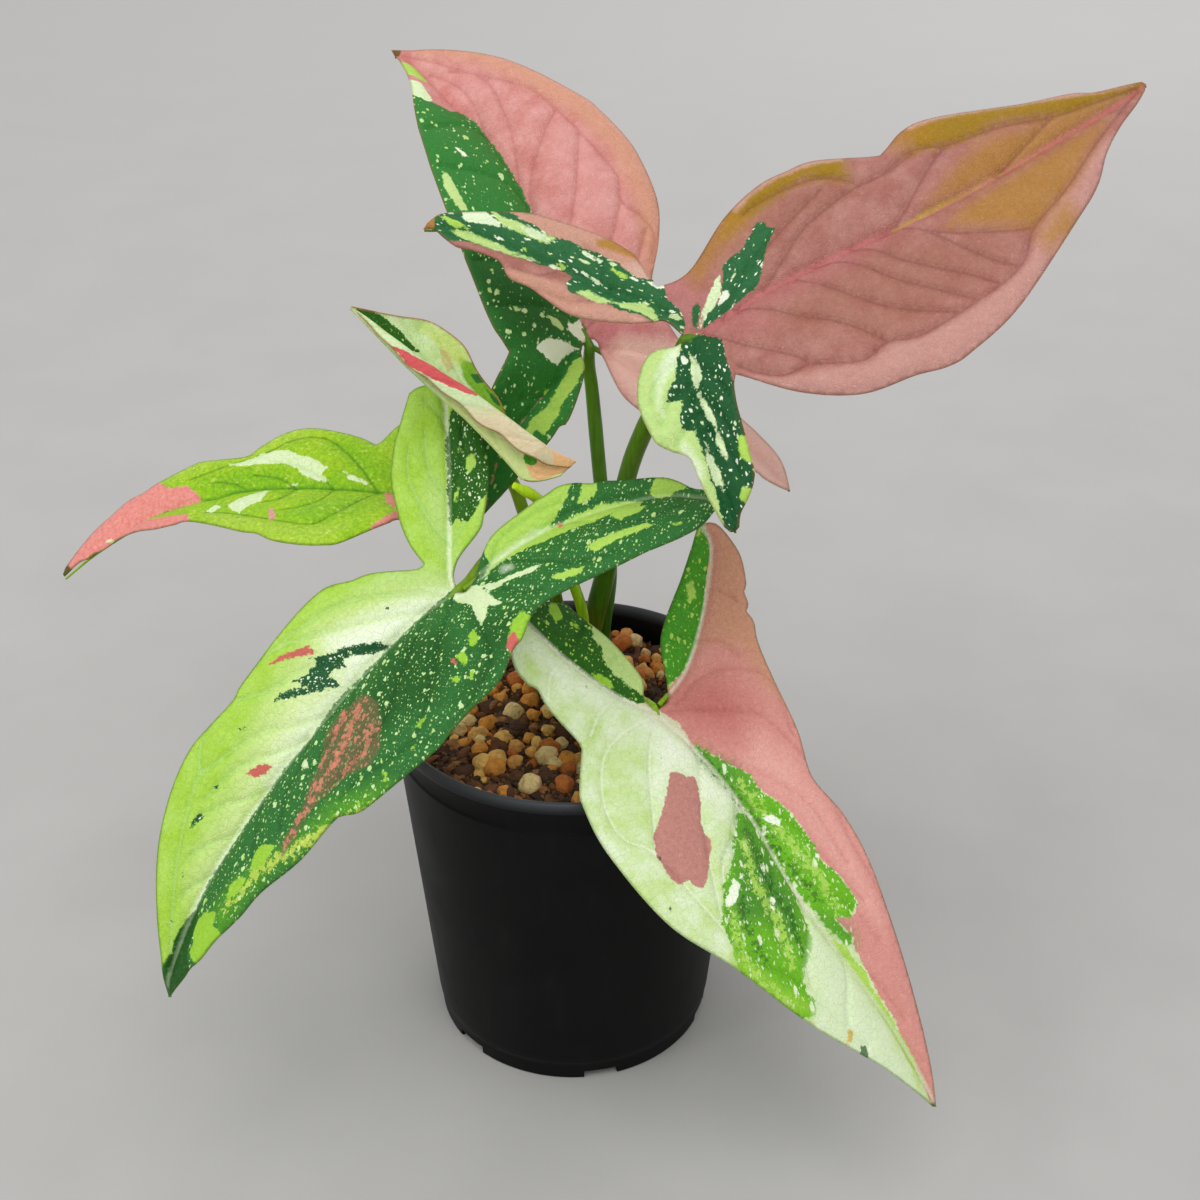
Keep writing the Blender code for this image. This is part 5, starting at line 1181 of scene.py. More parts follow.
def onBlade(shape, x, y, relief=0.0):
    # world points of flat blade points: the main lobe is bent to its arch
    start, across, along, above, length = frameOf(shape)
    z = heightOn(shape, x, y) + relief
    bend = math.radians(shape["arch"]) / length
    angle = np.maximum(y, 0) * bend
    far = np.where(y > 0, (1 / bend + z) * np.sin(angle), y)
    up = np.where(y > 0, (1 / bend + z) * np.cos(angle) - 1 / bend, z)
    return start + x[:, None] * across + far[:, None] * along + up[:, None] * above


def veinRelief(amount, ribAway, veinAway, edgeAway):
    # veins lie a little sunk, and the skin between them swells
    leaf = leafSettings
    swell = amount * (1 - np.exp(-veinAway / leaf["swellVein"])) * (1 - np.exp(-ribAway / leaf["swellRib"]))
    groove = -leaf["groove"] * np.exp(-((veinAway / leaf["grooveWidth"]) ** 2))
    rib = -leaf["ribGroove"] * np.exp(-((ribAway / leaf["ribGrooveWidth"]) ** 2))
    return swell * np.clip(edgeAway / leaf["swellEdge"], 0, 1) + groove + rib


def lineMask(tree, distance, width, strength):
    return times(tree, ramp(tree, distance, width * 0.2, width, 1.0, 0.0), strength)


def layerColour(tree, layer, place, marks):
    # a layer's own paint, with its flecks or the last layer's flecks on it
    if not marks:
        return layer["colour"]
    paint, spots = marks
    amount = ramp(tree, spots["Tone"], 0.2, 0.5, 0.0, 0.6)
    fleck = mixColour(tree, amount, paint, leafSettings["fleckMix"])
    return mixColour(tree, spots["Mask"], layer["colour"], fleck)


def paintLeaf(tree, shader, look, layers, place):
    # lays the painted patches over each other, with the veins under the hard-edged ones, then shades the skin
    leaf = leafSettings
    skin = useGroup(tree, leafSkin, {"Place": place, "Mesh Size": look.get("netSize", leaf["netSize"])})
    edge, rib, vein = (attribute(tree, key) for key in ("edgeAway", "ribAway", "veinAway"))
    colour = mixColour(tree, ramp(tree, skin["Cloud"], 0.35, 0.65), look["base"], look["base2"])
    for index, layer in enumerate(layers + [None]):
        if index == look["veinsAt"]:
            colour = mixColour(tree, lineMask(tree, vein, leaf["veinWidth"], look["vein"]), colour, look["veinColour"])
            colour = mixColour(tree, lineMask(tree, rib, leaf["ribWidth"], look["rib"]), colour, look["ribColour"])
        if not layer:
            break
        mask = useGroup(tree, patchEdge, {"Distance": attribute(tree, f"patch{index}"), "Place": place,
                                          "Wobble": layer["wobble"], "Soft": layer["soft"]})[0]
        if layer["flecks"]:
            paint, cover, size, stretch, angle = layer["flecks"]
            values = {"Place": place, "Angle": -math.radians(angle), "Stretch": stretch, "Size": size, "Cover": cover}
            marks = paint, useGroup(tree, flecks, values)
        over = layerColour(tree, layer, place, marks if layer["flecks"] or layer["keepFlecks"] else None)
        if layer["strength"] < 1:
            mask = times(tree, mask, layer["strength"])
        colour = mixColour(tree, mask, colour, over)
    if look["ribTop"]:
        colour = mixColour(tree, lineMask(tree, rib, leaf["ribTopWidth"], look["ribTop"]), colour, look["ribColour"])
    colour = mixColour(tree, lineMask(tree, edge, leaf["marginWidth"], look["margin"]), colour, look["marginColour"])
    tint = plus(tree, 0.5, times(tree, minus(tree, skin["Mottle"], 0.5), look["mottle"]))
    tint = plus(tree, tint, times(tree, minus(tree, skin["Grain"], 0.5), leaf["grainTone"]))
    tint = plus(tree, tint, times(tree, skin["Net"], look["net"]))
    tint = minus(tree, tint, lineMask(tree, vein, leaf["shadeWidth"], look["veinShade"]))
    shade = addNode(tree, "ShaderNodeMix", {0: 1.0, 6: colour, 7: tint}, data_type="RGBA", blend_type="OVERLAY")
    rough = plus(tree, ramp(tree, skin["Cloud"], 0.3, 0.7, 0.34, 0.46), times(tree, skin["Net"], 0.08))
    finish(tree, shader, shade.outputs[2], rough, 0.20)
    crease = plus(tree, skin["Height"], ramp(tree, vein, 0.0, 1.3, 0.0, leaf["crease"]))
    bump(tree, shader, plus(tree, crease, ramp(tree, rib, 0.0, 2.0, 0.0, 2.0)), 0.00022, 0.6)


def undersideMaterial(name, colour):
    made, tree, shader = newMaterial(name)
    skin = useGroup(tree, leafSkin, {"Place": leafPlace(tree)})
    tone = mixColour(tree, ramp(tree, skin["Cloud"], 0.3, 0.7), shaded(colour, 0.9), colour)
    for key, low, high, strength, factor in (("veinAway", 0.2, 1.0, 0.45, 1.15), ("ribAway", 0.5, 1.6, 0.6, 1.2)):
        raised = times(tree, ramp(tree, attribute(tree, key), low, high, 1.0, 0.0), strength)
        tone = mixColour(tree, raised, tone, shaded(colour, factor))
    tone = mixColour(tree, times(tree, skin["Net"], 0.15), tone, shaded(colour, 0.7))
    finish(tree, shader, tone, 0.62)
    bump(tree, shader, skin["Height"], 0.0002, 0.6)
    return made


def dressBlade(name, obj, flat, look, layers, away):
    # keeps the flat coordinates and the distances on the mesh, and gives it its two skins
    loops = np.empty(len(obj.data.loops), np.int32)
    obj.data.loops.foreach_get("vertex_index", loops)
    places = (flat[loops] / leafPerMap).astype(np.float32)
    obj.data.uv_layers.new(name="leaf").data.foreach_set("uv", places.ravel())
    for key, values in away.items():
        giveFloats(obj, key, values)
    for index, layer in enumerate(layers):
        giveFloats(obj, f"patch{index}", patchDistance(layer["patches"], *flat.T))
    made, tree, shader = newMaterial(name + "Skin")
    paintLeaf(tree, shader, look, layers, leafPlace(tree))
    obj.data.materials.append(made)
    if "under" in look:
        obj.data.materials.append(undersideMaterial(name + "Underside", look["under"]))
    smooth(obj)
    shell = obj.modifiers.new("thickness", "SOLIDIFY")
    shell.thickness, shell.offset, shell.use_rim = leafSettings["thickness"] * mm, -1, True
    shell.material_offset = 1 if "under" in look else 0


def buildBlade(node, name):
    shape, veins, coats, look = bladeShapes[node], bladeVeins[node], bladeCoats[node], bladeLooks[node]
    outline = outlineOf(shape, leafSettings["edgeStep"])
    flat, faces = triangulated(outline, shape["ribs"] + veins, leafSettings["spacing"])
    x, y = flat.T
    away = {"edgeAway": distanceTo(closedLine(outline), x, y)}
    for key, lines, step in (("ribAway", shape["ribs"], 2.0), ("veinAway", veins, 1.2)):
        away[key] = np.min([distanceTo(smoothLine(line, step), x, y) for line in lines], axis=0)
    points = onBlade(shape, x, y, veinRelief(look["swell"], away["ribAway"], away["veinAway"], away["edgeAway"]))
    obj = plainMesh(name, points, faces)
    dressBlade(name, obj, flat, look, coats, away)
    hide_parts(node)
    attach(obj, "root")


for node, name in (("blade_back", "backLeaf"), ("blade_right", "rightLeaf"), ("blade_front_left", "frontLeftLeaf"),
                   ("blade_front_right", "frontRightLeaf"), ("blade_far_left", "farLeftLeaf")):
    buildBlade(node, name)
    print("stage:", name)


# The rolled leaf's stations run from the tip (0) to the junction (1): the heights of the near half's free
# edge, the fold's crest and the far half's edge above the line between them. Its keel is in the same heights.
newLeaf = {
    "junction": (-11, -7.5, 212.8), "tip": (-65, -1.8, 272.4), "facing": (0.09, -0.9, 0.42), "earStart": 0.93,
    "rows": 130, "nearColumns": 44, "farColumns": 26, "from": 0.004, "to": 1.03, "earOpen": 1.06, "earCurve": 1.5,
    "crestPull": 1.22, "foldOut": (-1.0, 5.0, 4.6), "farOut": (5.5, 0.5), "nearWave": (0.35, 37), "farWave": (0.3, 29),
    "veinSlant": 0.34, "veinsApart": 7.5,
    "stations": [
        (0, 0, 0.2, 0.3), (0.01, 0, 0.5, 0.8), (0.09, 0.2, 1.9, 5), (0.16, 0, 2.8, 8.9), (0.28, -0.1, 4.5, 15),
        (0.39, 0.9, 6, 16.8), (0.5, 2.3, 8.1, 14.6), (0.58, 2.6, 9.4, 13.8), (0.66, 3.3, 10.4, 12.6),
        (0.75, 5.1, 11.3, 10.2), (0.84, 6.1, 12.5, 7.5), (0.93, 8.2, 13.4, 4.5), (0.98, 10.6, 14.2, 3),
        (1.03, 13.4, 14.6, 2),
    ],
    "keel": [
        (0, 0), (0.3, -0.4), (0.5, 0.5), (0.6, 1.2), (0.75, 1.2), (0.9, 0.6), (1, -0.6),
    ],
}
newLeafLooks = {
    "base": "cream", "base2": "paleGreen", "netSize": 2.0, "net": 0.1, "mottle": 0.4,
    "veinsAt": 0, "vein": 0.3, "veinColour": (160, 190, 90), "veinShade": 0.05,
    "rib": 0.3, "ribTop": 0, "ribColour": (214, 228, 150), "margin": 0.85, "marginColour": (158, 104, 62),
}
newLeafLayers = [
    coat("farGreen", 1, 0.5, 1, [
        [(35, 14), (41, 17), (49, 16), (62, 13), (75, 9), (75, 4), (56, 7.5), (46, 9), (40, 10.5)],
    ]),
    coat("leafGreen", 0.4, 0.5, 1, [
        [(40.7, 12.7), (43.3, 14.7), (45.9, 13.7), (44.6, 11.9)], [(47.8, 12.5), (52.9, 13), (56.1, 12.1),
        (52.3, 11.3)], [(57, 10.5), (61, 10.8), (64, 9.6), (60, 9)],
    ]),
    coat("limeYellow", 2, 0.5, 0.6, [
        [(20, 15), (30.5, 18), (37, 17), (37, 12), (34.3, 12), (27.9, 12.3), (19.6, 12)],
    ]),
    coat("farTan", 0.4, 0.5, 0.7, [[(27.9, 12.6), (33, 12.7), (36.2, 10.2), (35, 8.4), (31.7, 9.4)]]),
    coat("earDark", 0.3, 0.8, 1, [
        [(1.2, 0.9), (5.6, 4.6), (10.2, 6.2), (16, 6.9), (21, 6.6), (25.5, 6.8), (20, 3.1), (13.8, 1.8),
        (7.4, 0.6)],
    ], ("limePale", 0.6, 1.4, 2, 15)),
    coat("keelCream", 2, 0.5, 0.8, [[(36, -6), (50, -7), (62, -8), (72, -7), (86, -3), (86, 2), (60, 1), (40, 1)]]),
    coat("cream", 1.5, 0.5, 0.9, [
        [(0, -0.5), (12, -4), (24, -6.5), (45, -8.5), (64, -11), (84, -10), (86, -22), (64, -22), (50, -20),
        (38, -17), (26, -14), (12, -9), (0, -4)],
    ]),
    coat("foldTan", 7, 1, 0.85, [[(54, -10), (68, -12), (86, -8), (86, -24), (66, -24), (52, -21), (44, -18)]]),
    coat("coralDeep", 0.3, 0.5, 1, [
        [(15.5, -7.8), (22.8, -7.6), (29.8, -6.9), (37.5, -7.8), (45.5, -9), (45.5, -10.2), (42, -11.3),
        (36.2, -11.3), (29.8, -11.4), (23.4, -11.2)],
    ]),
    coat("orangeTan", 0.6, 0.5, 1, [
        [(67.5, -6.4), (71, -10), (74, -14), (78, -17), (84, -16), (84, -3), (80.5, -1), (78.6, -1), (74.7, -3)],
    ]),
    coat("greenBright", 0.3, 0.5, 1, [
        [(70.2, -4.6), (72, -4), (74, -5), (74.6, -6.8), (73, -8.6), (70.8, -8.2), (69.6, -6.4)],
    ]),
]


def smoothTable(rows, at):
    dense = np.array(smoothLine(rows, 0.4))
    return [np.interp(at, dense[:, 0], dense[:, k]) for k in range(1, dense.shape[1])]


def rolledSurface():
    # world points, flat coordinates and faces of the rolled leaf: the near half folds over towards the viewer
    leaf = newLeaf
    start, tip = np.array(leaf["junction"]), np.array(leaf["tip"])
    length = float(np.linalg.norm(start - tip))
    facing = np.array(leaf["facing"]) / np.linalg.norm(leaf["facing"])
    up = np.cross((tip - start) / length, facing)
    up /= np.linalg.norm(up)
    facing = np.cross(up, (tip - start) / length)
    earStart, near, far = leaf["earStart"], leaf["nearColumns"], leaf["farColumns"]
    (nearWave, nearWaves), (farWave, farWaves) = leaf["nearWave"], leaf["farWave"]
    foldFirst, foldLast, foldEdge = leaf["foldOut"]
    farRound, farStraight = leaf["farOut"]
    stations = np.unique(np.append(np.linspace(leaf["from"], leaf["to"], leaf["rows"]), earStart))
    edges, crests, tops = smoothTable(leaf["stations"], stations)
    keels = smoothTable(leaf["keel"], stations)[0]
    points, flat, index, faces = [], [], [], []
    for s, edge, crest, top, keel in zip(stations, edges, crests, tops, keels):
        if s > earStart:
            keel += (crest - keel) * ((s - earStart) / (leaf["earOpen"] - earStart)) ** leaf["earCurve"]
        bulge = min(1, s / 0.25) * min(1, (1.08 - s) / 0.2)
        row = []
        for t in np.linspace(1, 0, near + 1):
            early, late = 3 * t * (1 - t) ** 2, 3 * t * t * (1 - t)
            wave = nearWave * math.sin(s * nearWaves) * t**3 * bulge
            u = keel * (1 - t) ** 3 + leaf["crestPull"] * crest * (early + late) + edge * t**3 + wave
            row.append((u, (foldFirst * early + foldLast * late + foldEdge * t**3) * bulge))
        if s <= earStart + 1e-6:
            for t in np.linspace(0, 1, far + 1)[1:]:
                wave = farWave * math.sin(s * farWaves + 1) * t**2 * bulge
                out = -(farRound * math.sin(t * math.pi / 2) + farStraight * t) * bulge
                row.append((keel + (top - keel) * t + wave, out))
        steps = [0] + [math.dist(a, b) for a, b in zip(row, row[1:])]
        across = np.cumsum(steps) - sum(steps[:near + 1])
        base = tip + (start - tip) * s
        index.append(range(len(points), len(points) + len(row)))
        points += [base + up * u + facing * w for u, w in row]
        flat += [(s * length, a) for a in across]
    for a, b in zip(index, index[1:]):
        for k in range(min(len(a), len(b)) - 1):
            faces.append((a[k], b[k], b[k + 1], a[k + 1]))
    return np.array(points), np.array(flat), faces, index


def buildNewLeaf():
    points, flat, faces, index = rolledSurface()
    obj = plainMesh("newLeaf", points, faces)
    edgeAway = np.empty(len(points))
    for row in index:
        places = flat[list(row), 1]
        edgeAway[list(row)] = np.minimum(places - places[0], places[-1] - places)
    ribAway, apart = abs(flat[:, 1]), newLeaf["veinsApart"]
    slant = (flat[:, 0] * newLeaf["veinSlant"] + ribAway) % apart
    away = {"edgeAway": edgeAway, "ribAway": ribAway, "veinAway": np.minimum(slant, apart - slant)}
    dressBlade("newLeaf", obj, flat, newLeafLooks, newLeafLayers, away)
    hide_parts("blade_new")
    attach(obj, "root")


buildNewLeaf()
print("stage: new leaf")


# Each petiole: its radii at the foot, halfway and at the top, its colours from the foot up, its points from the
# soil up in the world, and its last points on its blade's own axes (across, along, above).
petioles = {
    "stalk_back": {
        "name": "backPetiole", "blade": "blade_back", "radii": (3, 2.4, 2.1), "colours": [(52, 92, 5), (56, 100, 7),
        (84, 132, 18)],
        "path": [(9, 21, 127), (10.9, 22, 147), (13, 25, 168), (10, 30, 198), (7.4, 31, 229)],
        "approach": [(0, -6.5, -8), (0.3, -1.5, -1.35)],
    },
    "stalk_right": {
        "name": "rightPetiole", "blade": "blade_right", "radii": (3.6, 3, 2.3), "colours": [(120, 98, 22),
        (62, 100, 8), (78, 116, 14)],
        "path": [(2, 14, 127), (4.5, 13.5, 139), (12, 11, 174), (18.5, 4, 212), (23.6, -1, 231), (30, -9, 250)],
        "approach": [(0, -7, -8), (0, -1.8, -1.35)],
    },
    "stalk_new": {
        "name": "newPetiole", "blade": None, "radii": (1.9, 1.8, 1.8), "colours": [(123, 177, 11), (146, 196, 19),
        (184, 219, 35)],
        "path": [(4, 6, 127), (4.8, 5, 142), (4.2, 4, 160), (1.6, 2.5, 172), (-4.3, 0.2, 191.5),
         (-8.9, -2.2, 206.3), (-15.7, -8.9, 215.2), (-17, -9.4, 216.2)],
        "approach": [],
    },
    "stalk_front_left": {
        "name": "frontLeftPetiole", "blade": "blade_front_left", "radii": (2.8, 2.3, 1.9), "colours": [(66, 96, 6),
        (84, 116, 11), (112, 148, 21)],
        "path": [(-6, 6, 127), (-8, 6, 150), (-13, 2, 172)],
        "approach": [(1, -34, -16), (3, -20, -6.5), (1.6, -7, -4.6), (0.3, -1.4, -1.35)],
    },
    "stalk_front_right": {
        "name": "frontRightPetiole", "blade": "blade_front_right", "radii": (2.6, 2.3, 1.9), "colours":
        [(78, 114, 9), (98, 140, 16), (132, 170, 29)],
        "path": [(10, 5, 127), (11, 2.5, 132)],
        "approach": [(-2, -12, -14), (0, -1.5, -1.35)],
    },
    "stalk_far_left": {
        "name": "farLeftPetiole", "blade": "blade_far_left", "radii": (2.4, 2.2, 1.7), "colours": [(104, 96, 20),
        (84, 116, 9), (130, 166, 17)],
        "path": [(-5, 15, 127), (-4.6, 15.4, 142), (-5, 17, 158), (-9.4, 19, 173), (-15.2, 21, 189),
         (-19.5, 23, 201), (-27, 25, 206)],
        "approach": [(0.5, -11, 6), (0.5, -2.3, 0.3)],
    },
}
petioleSettings = {
    "foot": 100.0, "step": 2.0, "sides": 24, "ribStart": 1.15, "ribEnd": 0.35, "ribStep": 2.5, "earRibs": 0.8,
    "ribUnder": 0.98, "radiiAt": [0, 0.25, 0.5, 0.75, 0.93, 1], "topEnd": 0.82, "topEndNew": 0.6,
}
mainStem = {
    "foot": (10.6, 13), "radius": 2.5, "colours": [(96, 84, 44), (84, 92, 34), (84, 92, 34)], "share": 0.1,
    "heights": [100, 112, 122, 126, 128.4, 129.4, 130], "sizes": [1.0, 1.0, 1.05, 1.0, 0.92, 0.7, 0.3],
}


def rodTree():
    # round rods along polylines whose points hold their own radius in the attribute thick
    group, given, end = newGroup("roundRods", "GeometryNodeTree", {
        "Lines": "Geometry", "Sides": 24, "Finish": "Material"}, {"Rods": "Geometry"})
    curve = addNode(group, "GeometryNodeMeshToCurve", {"Mesh": given["Lines"]}).outputs[0]
    thick = addNode(group, "GeometryNodeInputNamedAttribute", {"Name": "thick"}, data_type="FLOAT").outputs[0]
    sized = addNode(group, "GeometryNodeSetCurveRadius", {"Curve": curve, "Radius": thick}).outputs[0]
    values = {"Resolution": given["Sides"], "Radius": 1.0}
    ring = addNode(group, "GeometryNodeCurvePrimitiveCircle", values, mode="RADIUS").outputs[0]
    rods = addNode(group, "GeometryNodeCurveToMesh", {"Curve": sized, "Profile Curve": ring, "Fill Caps": True})
    if "Scale" in rods.inputs:
        group.links.new(thick, rods.inputs["Scale"])
    return dressedGroup(group, given, end, rods.outputs[0], "Rods")


rodGroup = rodTree()


def petioleMaterial(name, tones):
    made, tree, shader = newMaterial(name + "Skin")
    place = objectPlace(tree)
    streaks = noisy(tree, stretched(tree, place, (900, 900, 45)), 1.0, 4.0, 0.6)["Fac"]
    blotches = noisy(tree, place, 180.0, 3.0)["Fac"]
    low, mid, high = tones
    shifted = plus(tree, attribute(tree, "along"), ramp(tree, blotches, 0.3, 0.7, -0.06, 0.06))
    tone = mixColour(tree, ramp(tree, shifted, 0.0, 0.3), low, mid)
    tone = mixColour(tree, ramp(tree, shifted, 0.45, 0.75), tone, high)
    tone = mixColour(tree, ramp(tree, streaks, 0.5, 0.75, 0.0, 0.5), tone, shaded(mid, 0.7))
    tone = mixColour(tree, ramp(tree, streaks, 0.5, 0.25, 0.0, 0.35), tone, shaded(mid, 1.35, 12))
    finish(tree, shader, tone, ramp(tree, blotches, 0.3, 0.7, 0.30, 0.44), 0.25)
    bump(tree, shader, streaks, 0.0003, 0.5)
    return made


def rods(name, lines, material):
    # lines are lists of (point, radius, share of the height)
    points, edges, thick, along = [], [], [], []
    for line in lines:
        edges += [(len(points) + i, len(points) + i + 1) for i in range(len(line) - 1)]
        for p, radius, share in line:
            points.append(p)
            thick.append(radius * mm)
            along.append(share)
    source = plainMesh(name + "Lines", points, edges=edges)
    giveFloats(source, "thick", thick)
    giveFloats(source, "along", along)
    obj = grownBy(source, rodGroup, {"Sides": petioleSettings["sides"], "Finish": material}, name)
    obj.data.set_sharp_from_angle(angle=math.radians(50))
    return obj


def ribLine(shape, rib, main):
    # the raised rib under a blade, thinning towards its end; the main one starts past the petiole's top
    settings = petioleSettings
    flat = np.array(smoothLine(rib, settings["ribStep"]))[3 if main else 1:]
    start = settings["ribStart"] * (1 if main else settings["earRibs"])
    sizes = np.linspace(start, settings["ribEnd"], len(flat))
    places = onBlade(shape, flat[:, 0], flat[:, 1], -(settings["ribUnder"] + sizes))
    return [(p, r, 1.0) for p, r in zip(places, sizes)]


def buildPetiole(node, stalk):
    settings = petioleSettings
    points = [np.array(p, float) for p in stalk["path"]]
    foot = np.array([points[0][0], points[0][1], settings["foot"]])
    shape = bladeShapes.get(stalk["blade"])
    if shape:
        start, across, along, above, _ = frameOf(shape)
        points += [start + x * across + y * along + z * above for x, y, z in stalk["approach"]]
    path = [foot] + smoothLine(points, settings["step"])
    low, middle, top = stalk["radii"]
    shares = np.linspace(0, 1, len(path))
    end = top * settings["topEnd" if shape else "topEndNew"]
    radii = np.interp(shares, settings["radiiAt"], [low, low, middle, middle, top, end])
    lines = [list(zip(path, radii, shares))]
    if shape:
        main, *ears = shape["ribs"]
        lines[0] += ribLine(shape, main, True)
        lines += [ribLine(shape, ear, False) for ear in ears]
    obj = rods(stalk["name"], lines, petioleMaterial(stalk["name"], stalk["colours"]))
    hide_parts(node)
    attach(obj, "root")


def buildMainStem():
    stem = mainStem
    x, y = stem["foot"]
    line = [((x, y, z), stem["radius"] * k, stem["share"]) for z, k in zip(stem["heights"], stem["sizes"])]
    stump = rods("mainStem", [line], petioleMaterial("mainStem", stem["colours"]))
    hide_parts("main_stem")
    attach(stump, "root")


for node, stalk in petioles.items():
    buildPetiole(node, stalk)
buildMainStem()
print("stage: petioles")


soilSettings = {
    "top": 122.0, "gap": 0.4, "spacing": 1.3, "lump": 4.0, "lumpSize": 8.0, "seed": 3.7, "rimSides": 220,
    "heap": 3.0, "heapAt": (5, 25), "heapWidth": 900, "crumb": 0.9, "under": 1.5, "edgeDrop": 4,
    "tones": [(36, 26, 16), (92, 68, 42), (146, 108, 66)],
}
scatters = {
    "soilCrumbs": {
        "apart": 1.5, "size": (0.6, 1.7), "flat": 0.6, "narrow": 0.35, "sink": 0.1, "detail": 1, "lump": 0.5,
        "seed": 4, "tones": [(54, 34, 19), (96, 59, 30), (144, 90, 45), (75, 47, 26)],
    },
    "barkChips": {
        "apart": 3.3, "size": (1.6, 4.4), "flat": 0.34, "narrow": 0.22, "sink": 0, "detail": 2, "lump": 0.34,
        "seed": 12, "tones": [(62, 39, 22), (112, 67, 36), (83, 51, 30), (156, 104, 58)],
    },
    "mineralGrains": {
        "apart": 4.2, "size": (1.1, 3.9), "flat": 0.9, "narrow": 0.7, "sink": -0.8, "detail": 3, "lump": 0.26,
        "seed": 23, "share": 0.46, "tones": [(223, 149, 62), (241, 194, 109), (191, 106, 40), (235, 206, 144)],
    },
}
groundSettings = {"fromWall": 4.5, "sides": 90, "spacing": 3.0, "fullShare": 2.0}


def soilHeight(x, y, fineness=0.0):
    soil = soilSettings
    size, seed = soil["lumpSize"], soil["seed"]
    heapX, heapY = soil["heapAt"]
    heap = soil["heap"] * math.exp(-((x - heapX) ** 2 + (y - heapY) ** 2) / soil["heapWidth"])
    lump = noise.noise(Vector((x / size, y / size, seed)))
    fine = noise.noise(Vector((x / size * 2.1, y / size * 2.1, seed + 5)))
    crumb = noise.noise(Vector((x / 1.6, y / 1.6, 9.1))) + 0.6 * noise.noise(Vector((x / 0.8, y / 0.8, 2.2)))
    return soil["top"] - soil["under"] + heap + soil["lump"] * (0.6 * lump + 0.35 * fine) + fineness * crumb


def soilMaterial():
    made, tree, shader = newMaterial("darkSoil")
    place = objectPlace(tree)
    dark, brown, straw = soilSettings["tones"]
    coarse = noisy(tree, place, 260.0, 6.0, 0.7)["Fac"]
    fibres = cells(tree, place, 700.0)
    specks = addNode(tree, "ShaderNodeSeparateColor", {"Color": fibres["Color"]}).outputs["Red"]
    tone = mixColour(tree, ramp(tree, coarse, 0.35, 0.65), dark, brown)
    tone = mixColour(tree, ramp(tree, specks, 0.8, 0.84, 0.0, 0.6), tone, straw)
    finish(tree, shader, tone, 0.93)
    bump(tree, shader, plus(tree, coarse, times(tree, fibres["Distance"], -0.8)), 0.0009, 0.9)
    return made


def disc(radius, sides, spacing):
    turn = np.linspace(0, 2 * math.pi, sides, endpoint=False)
    return triangulated(np.column_stack([radius * np.cos(turn), radius * np.sin(turn)]), [], spacing)


def buildSoilBed():
    soil, pot = soilSettings, potSettings
    inner = wallRadius(pot["height"] - pot["stepDrop"]) - pot["wall"] - pot["stepIn"] - soil["gap"]
    lower = wallRadius(pot["floorThickness"]) - pot["wall"] - soil["gap"]
    flat, faces = disc(inner, soil["rimSides"], soil["spacing"])
    far = np.hypot(*flat.T)
    ring = sorted(np.flatnonzero(far > inner - 0.01), key=lambda i: math.atan2(flat[i][1], flat[i][0]))
    heights = [soilHeight(x, y, soil["crumb"]) for x, y in flat]
    rimHeight = soil["top"] - soil["edgeDrop"]
    points = [(x, y, z if r < inner - 0.01 else rimHeight) for (x, y), z, r in zip(flat, heights, far)]
    base, low = len(points), pot["floorThickness"] + soil["gap"]
    points += [(points[i][0] * lower / inner, points[i][1] * lower / inner, low) for i in ring] + [(0, 0, low)]
    faces = [tuple(f) for f in faces]
    for k, i in enumerate(ring):
        following = (k + 1) % len(ring)
        faces.append((ring[following], i, base + k, base + following))
        faces.append((base + following, base + k, len(points) - 1))
    bed = plainMesh("soilBed", points, faces)
    outwards(bed)
    smooth(bed)
    bed.data.materials.append(soilMaterial())
    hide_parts("soil")
    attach(bed, "root")


def drawn(group, seed, lowest, largest):
    # a random number between two, which is a draw of its own for each seed
    values = {"Seed": seed, 2: lowest, 3: largest}
    return addNode(group, "FunctionNodeRandomValue", values, data_type="FLOAT").outputs[1]


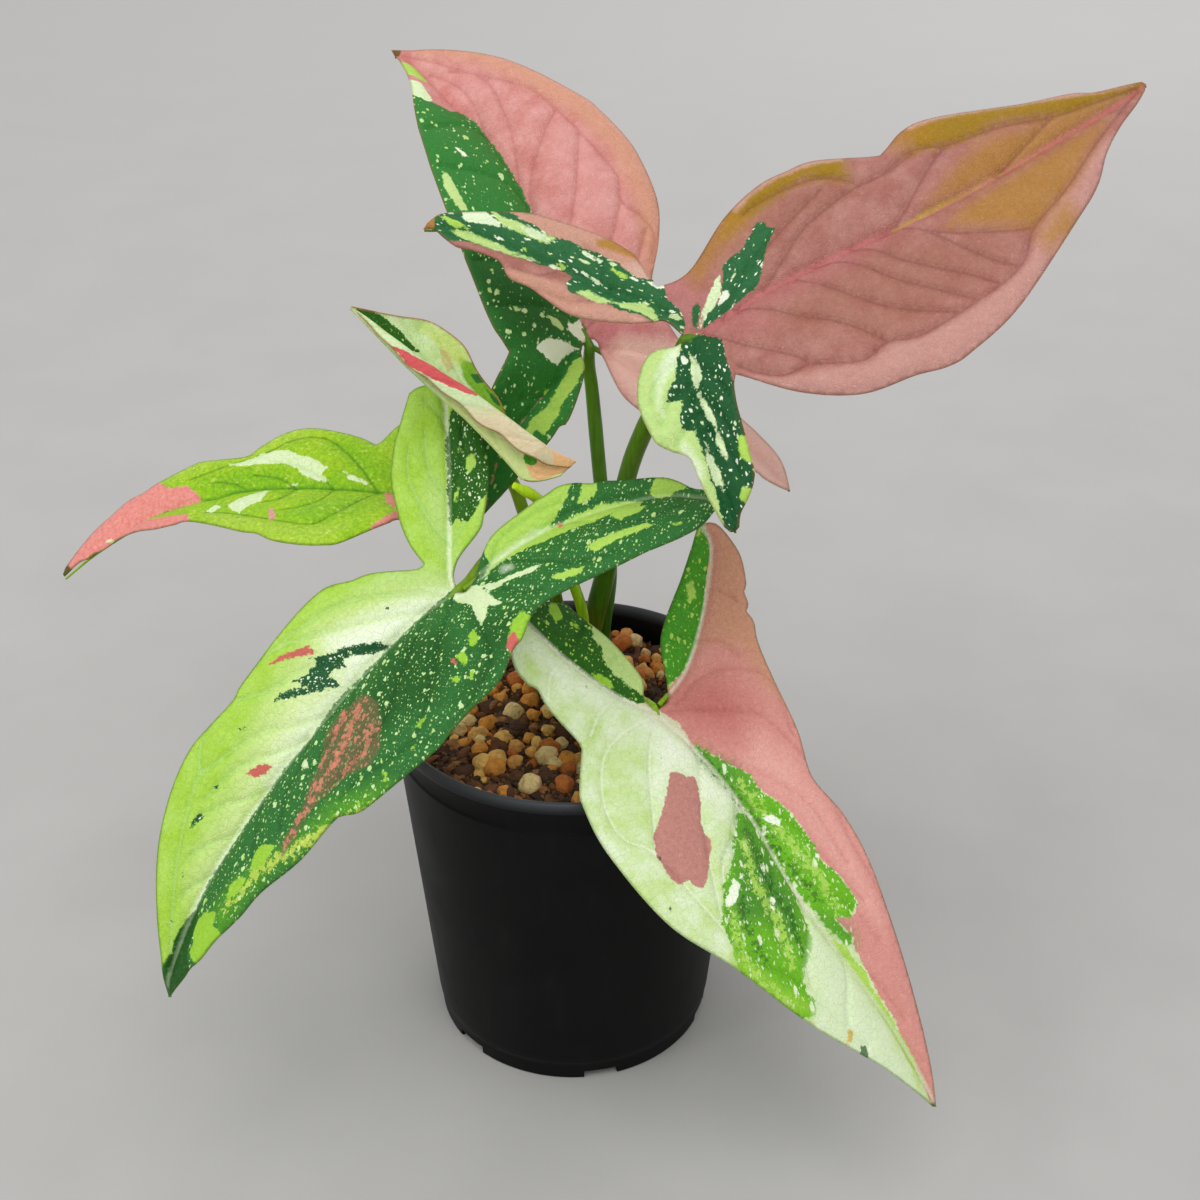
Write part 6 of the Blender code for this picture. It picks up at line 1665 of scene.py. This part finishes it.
def scatterTree():
    # lumpy grains strewn over a surface, each with its own size, turn and tone
    group, given, end = newGroup("strewnGrains", "GeometryNodeTree", {
        "Ground": "Geometry", "Apart": 0.005, "Seed": 1, "Smallest": 0.002, "Largest": 0.004, "Flat": 0.6, "Sink": 0.2,
        "Detail": 2, "Lump": 0.3, "Share": 1.0, "Narrow": 0.65, "Finish": "Material"}, {"Grains": "Geometry"})
    smallest, largest = given["Smallest"], given["Largest"]
    place = addNode(group, "GeometryNodeInputPosition").outputs[0]
    strewn = addNode(group, "GeometryNodeDistributePointsOnFaces", {
        "Mesh": given["Ground"], "Distance Min": given["Apart"], "Density Max": 3e6, "Seed": given["Seed"],
    }, distribute_method="POISSON").outputs["Points"]
    tone = drawn(group, given["Seed"], 0.0, 1.0)
    toned = addNode(group, "GeometryNodeStoreNamedAttribute", {"Geometry": strewn, "Name": "tone", "Value": tone},
                    data_type="FLOAT", domain="POINT").outputs[0]
    ball = addNode(group, "GeometryNodeMeshIcoSphere", {"Radius": 1.0, "Subdivisions": given["Detail"]}).outputs[0]
    turn = addNode(group, "FunctionNodeRandomValue", {
        "Seed": 7, 0: (-0.45, -0.45, 0), 1: (0.45, 0.45, 6.28)}, data_type="FLOAT_VECTOR").outputs[0]
    shape = joined(group, 1.0, drawn(group, 5, given["Narrow"], 1.1), given["Flat"])
    scale = vectorMaths(group, "SCALE", shape, drawn(group, 3, smallest, largest))
    heaps = times(group, minus(group, noisy(group, place, 55.0, 1.0)["Fac"], 0.5), 3.0)
    chosen = maths(group, "LESS_THAN", drawn(group, 31, 0.0, 1.0), plus(group, heaps, given["Share"]))
    grains = addNode(group, "GeometryNodeInstanceOnPoints", {
        "Points": toned, "Instance": ball, "Selection": chosen, "Rotation": turn, "Scale": scale}).outputs[0]
    real = addNode(group, "GeometryNodeRealizeInstances", {"Geometry": grains}).outputs[0]
    rough = noisy(group, place, maths(group, "DIVIDE", 1.1, largest), 2.0)["Color"]
    reach = times(group, times(group, largest, given["Lump"]), 3.0)
    shift = vectorMaths(group, "SCALE", vectorMaths(group, "SUBTRACT", rough, halfGrey), reach)
    lift = times(group, times(group, smallest, given["Sink"]), -1.0)
    offset = vectorMaths(group, "ADD", shift, joined(group, 0.0, 0.0, lift))
    moved = addNode(group, "GeometryNodeSetPosition", {"Geometry": real, "Offset": offset}).outputs[0]
    return dressedGroup(group, given, end, moved, "Grains")


def grainMaterial(name, tones):
    made, tree, shader = newMaterial(name + "Finish")
    place, tone = objectPlace(tree), attribute(tree, "tone")
    coarse = noisy(tree, place, 420.0, 5.0, 0.65)["Fac"]
    pits = cells(tree, place, 1100.0)["Distance"]
    colour = tones[0]
    for over, low, high in zip(tones[1:], (0.2, 0.5, 0.78), (0.4, 0.62, 0.86)):
        colour = mixColour(tree, ramp(tree, tone, low, high), colour, over)
    colour = mixColour(tree, ramp(tree, coarse, 0.55, 0.3, 0.0, 0.55), colour, shaded(tones[0], 0.5))
    finish(tree, shader, colour, 0.88)
    bump(tree, shader, plus(tree, coarse, times(tree, pits, 0.5)), 0.0006, 0.8)
    return made


def strewGrains(name, settings, tree):
    # a disc of ground inside the pot, which the grains lie on
    lowest, largest = settings["size"]
    inner = wallRadius(potSettings["height"] - potSettings["stepDrop"]) - groundSettings["fromWall"] - largest * 0.6
    flat, faces = disc(inner, groundSettings["sides"], groundSettings["spacing"])
    ground = plainMesh(name + "Ground", [(x, y, soilHeight(x, y)) for x, y in flat], faces)
    values = {key.capitalize(): settings[key] for key in ("seed", "flat", "sink", "detail", "lump", "narrow")}
    values.update({"Apart": settings["apart"] * mm, "Smallest": lowest * mm, "Largest": largest * mm,
                   "Share": settings.get("share", groundSettings["fullShare"]),
                   "Finish": grainMaterial(name, settings["tones"])})
    obj = grownBy(ground, tree, values, name)
    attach(obj, "root")


buildSoilBed()
grainTree = scatterTree()
for name, settings in scatters.items():
    strewGrains(name, settings, grainTree)
    print("stage:", name)
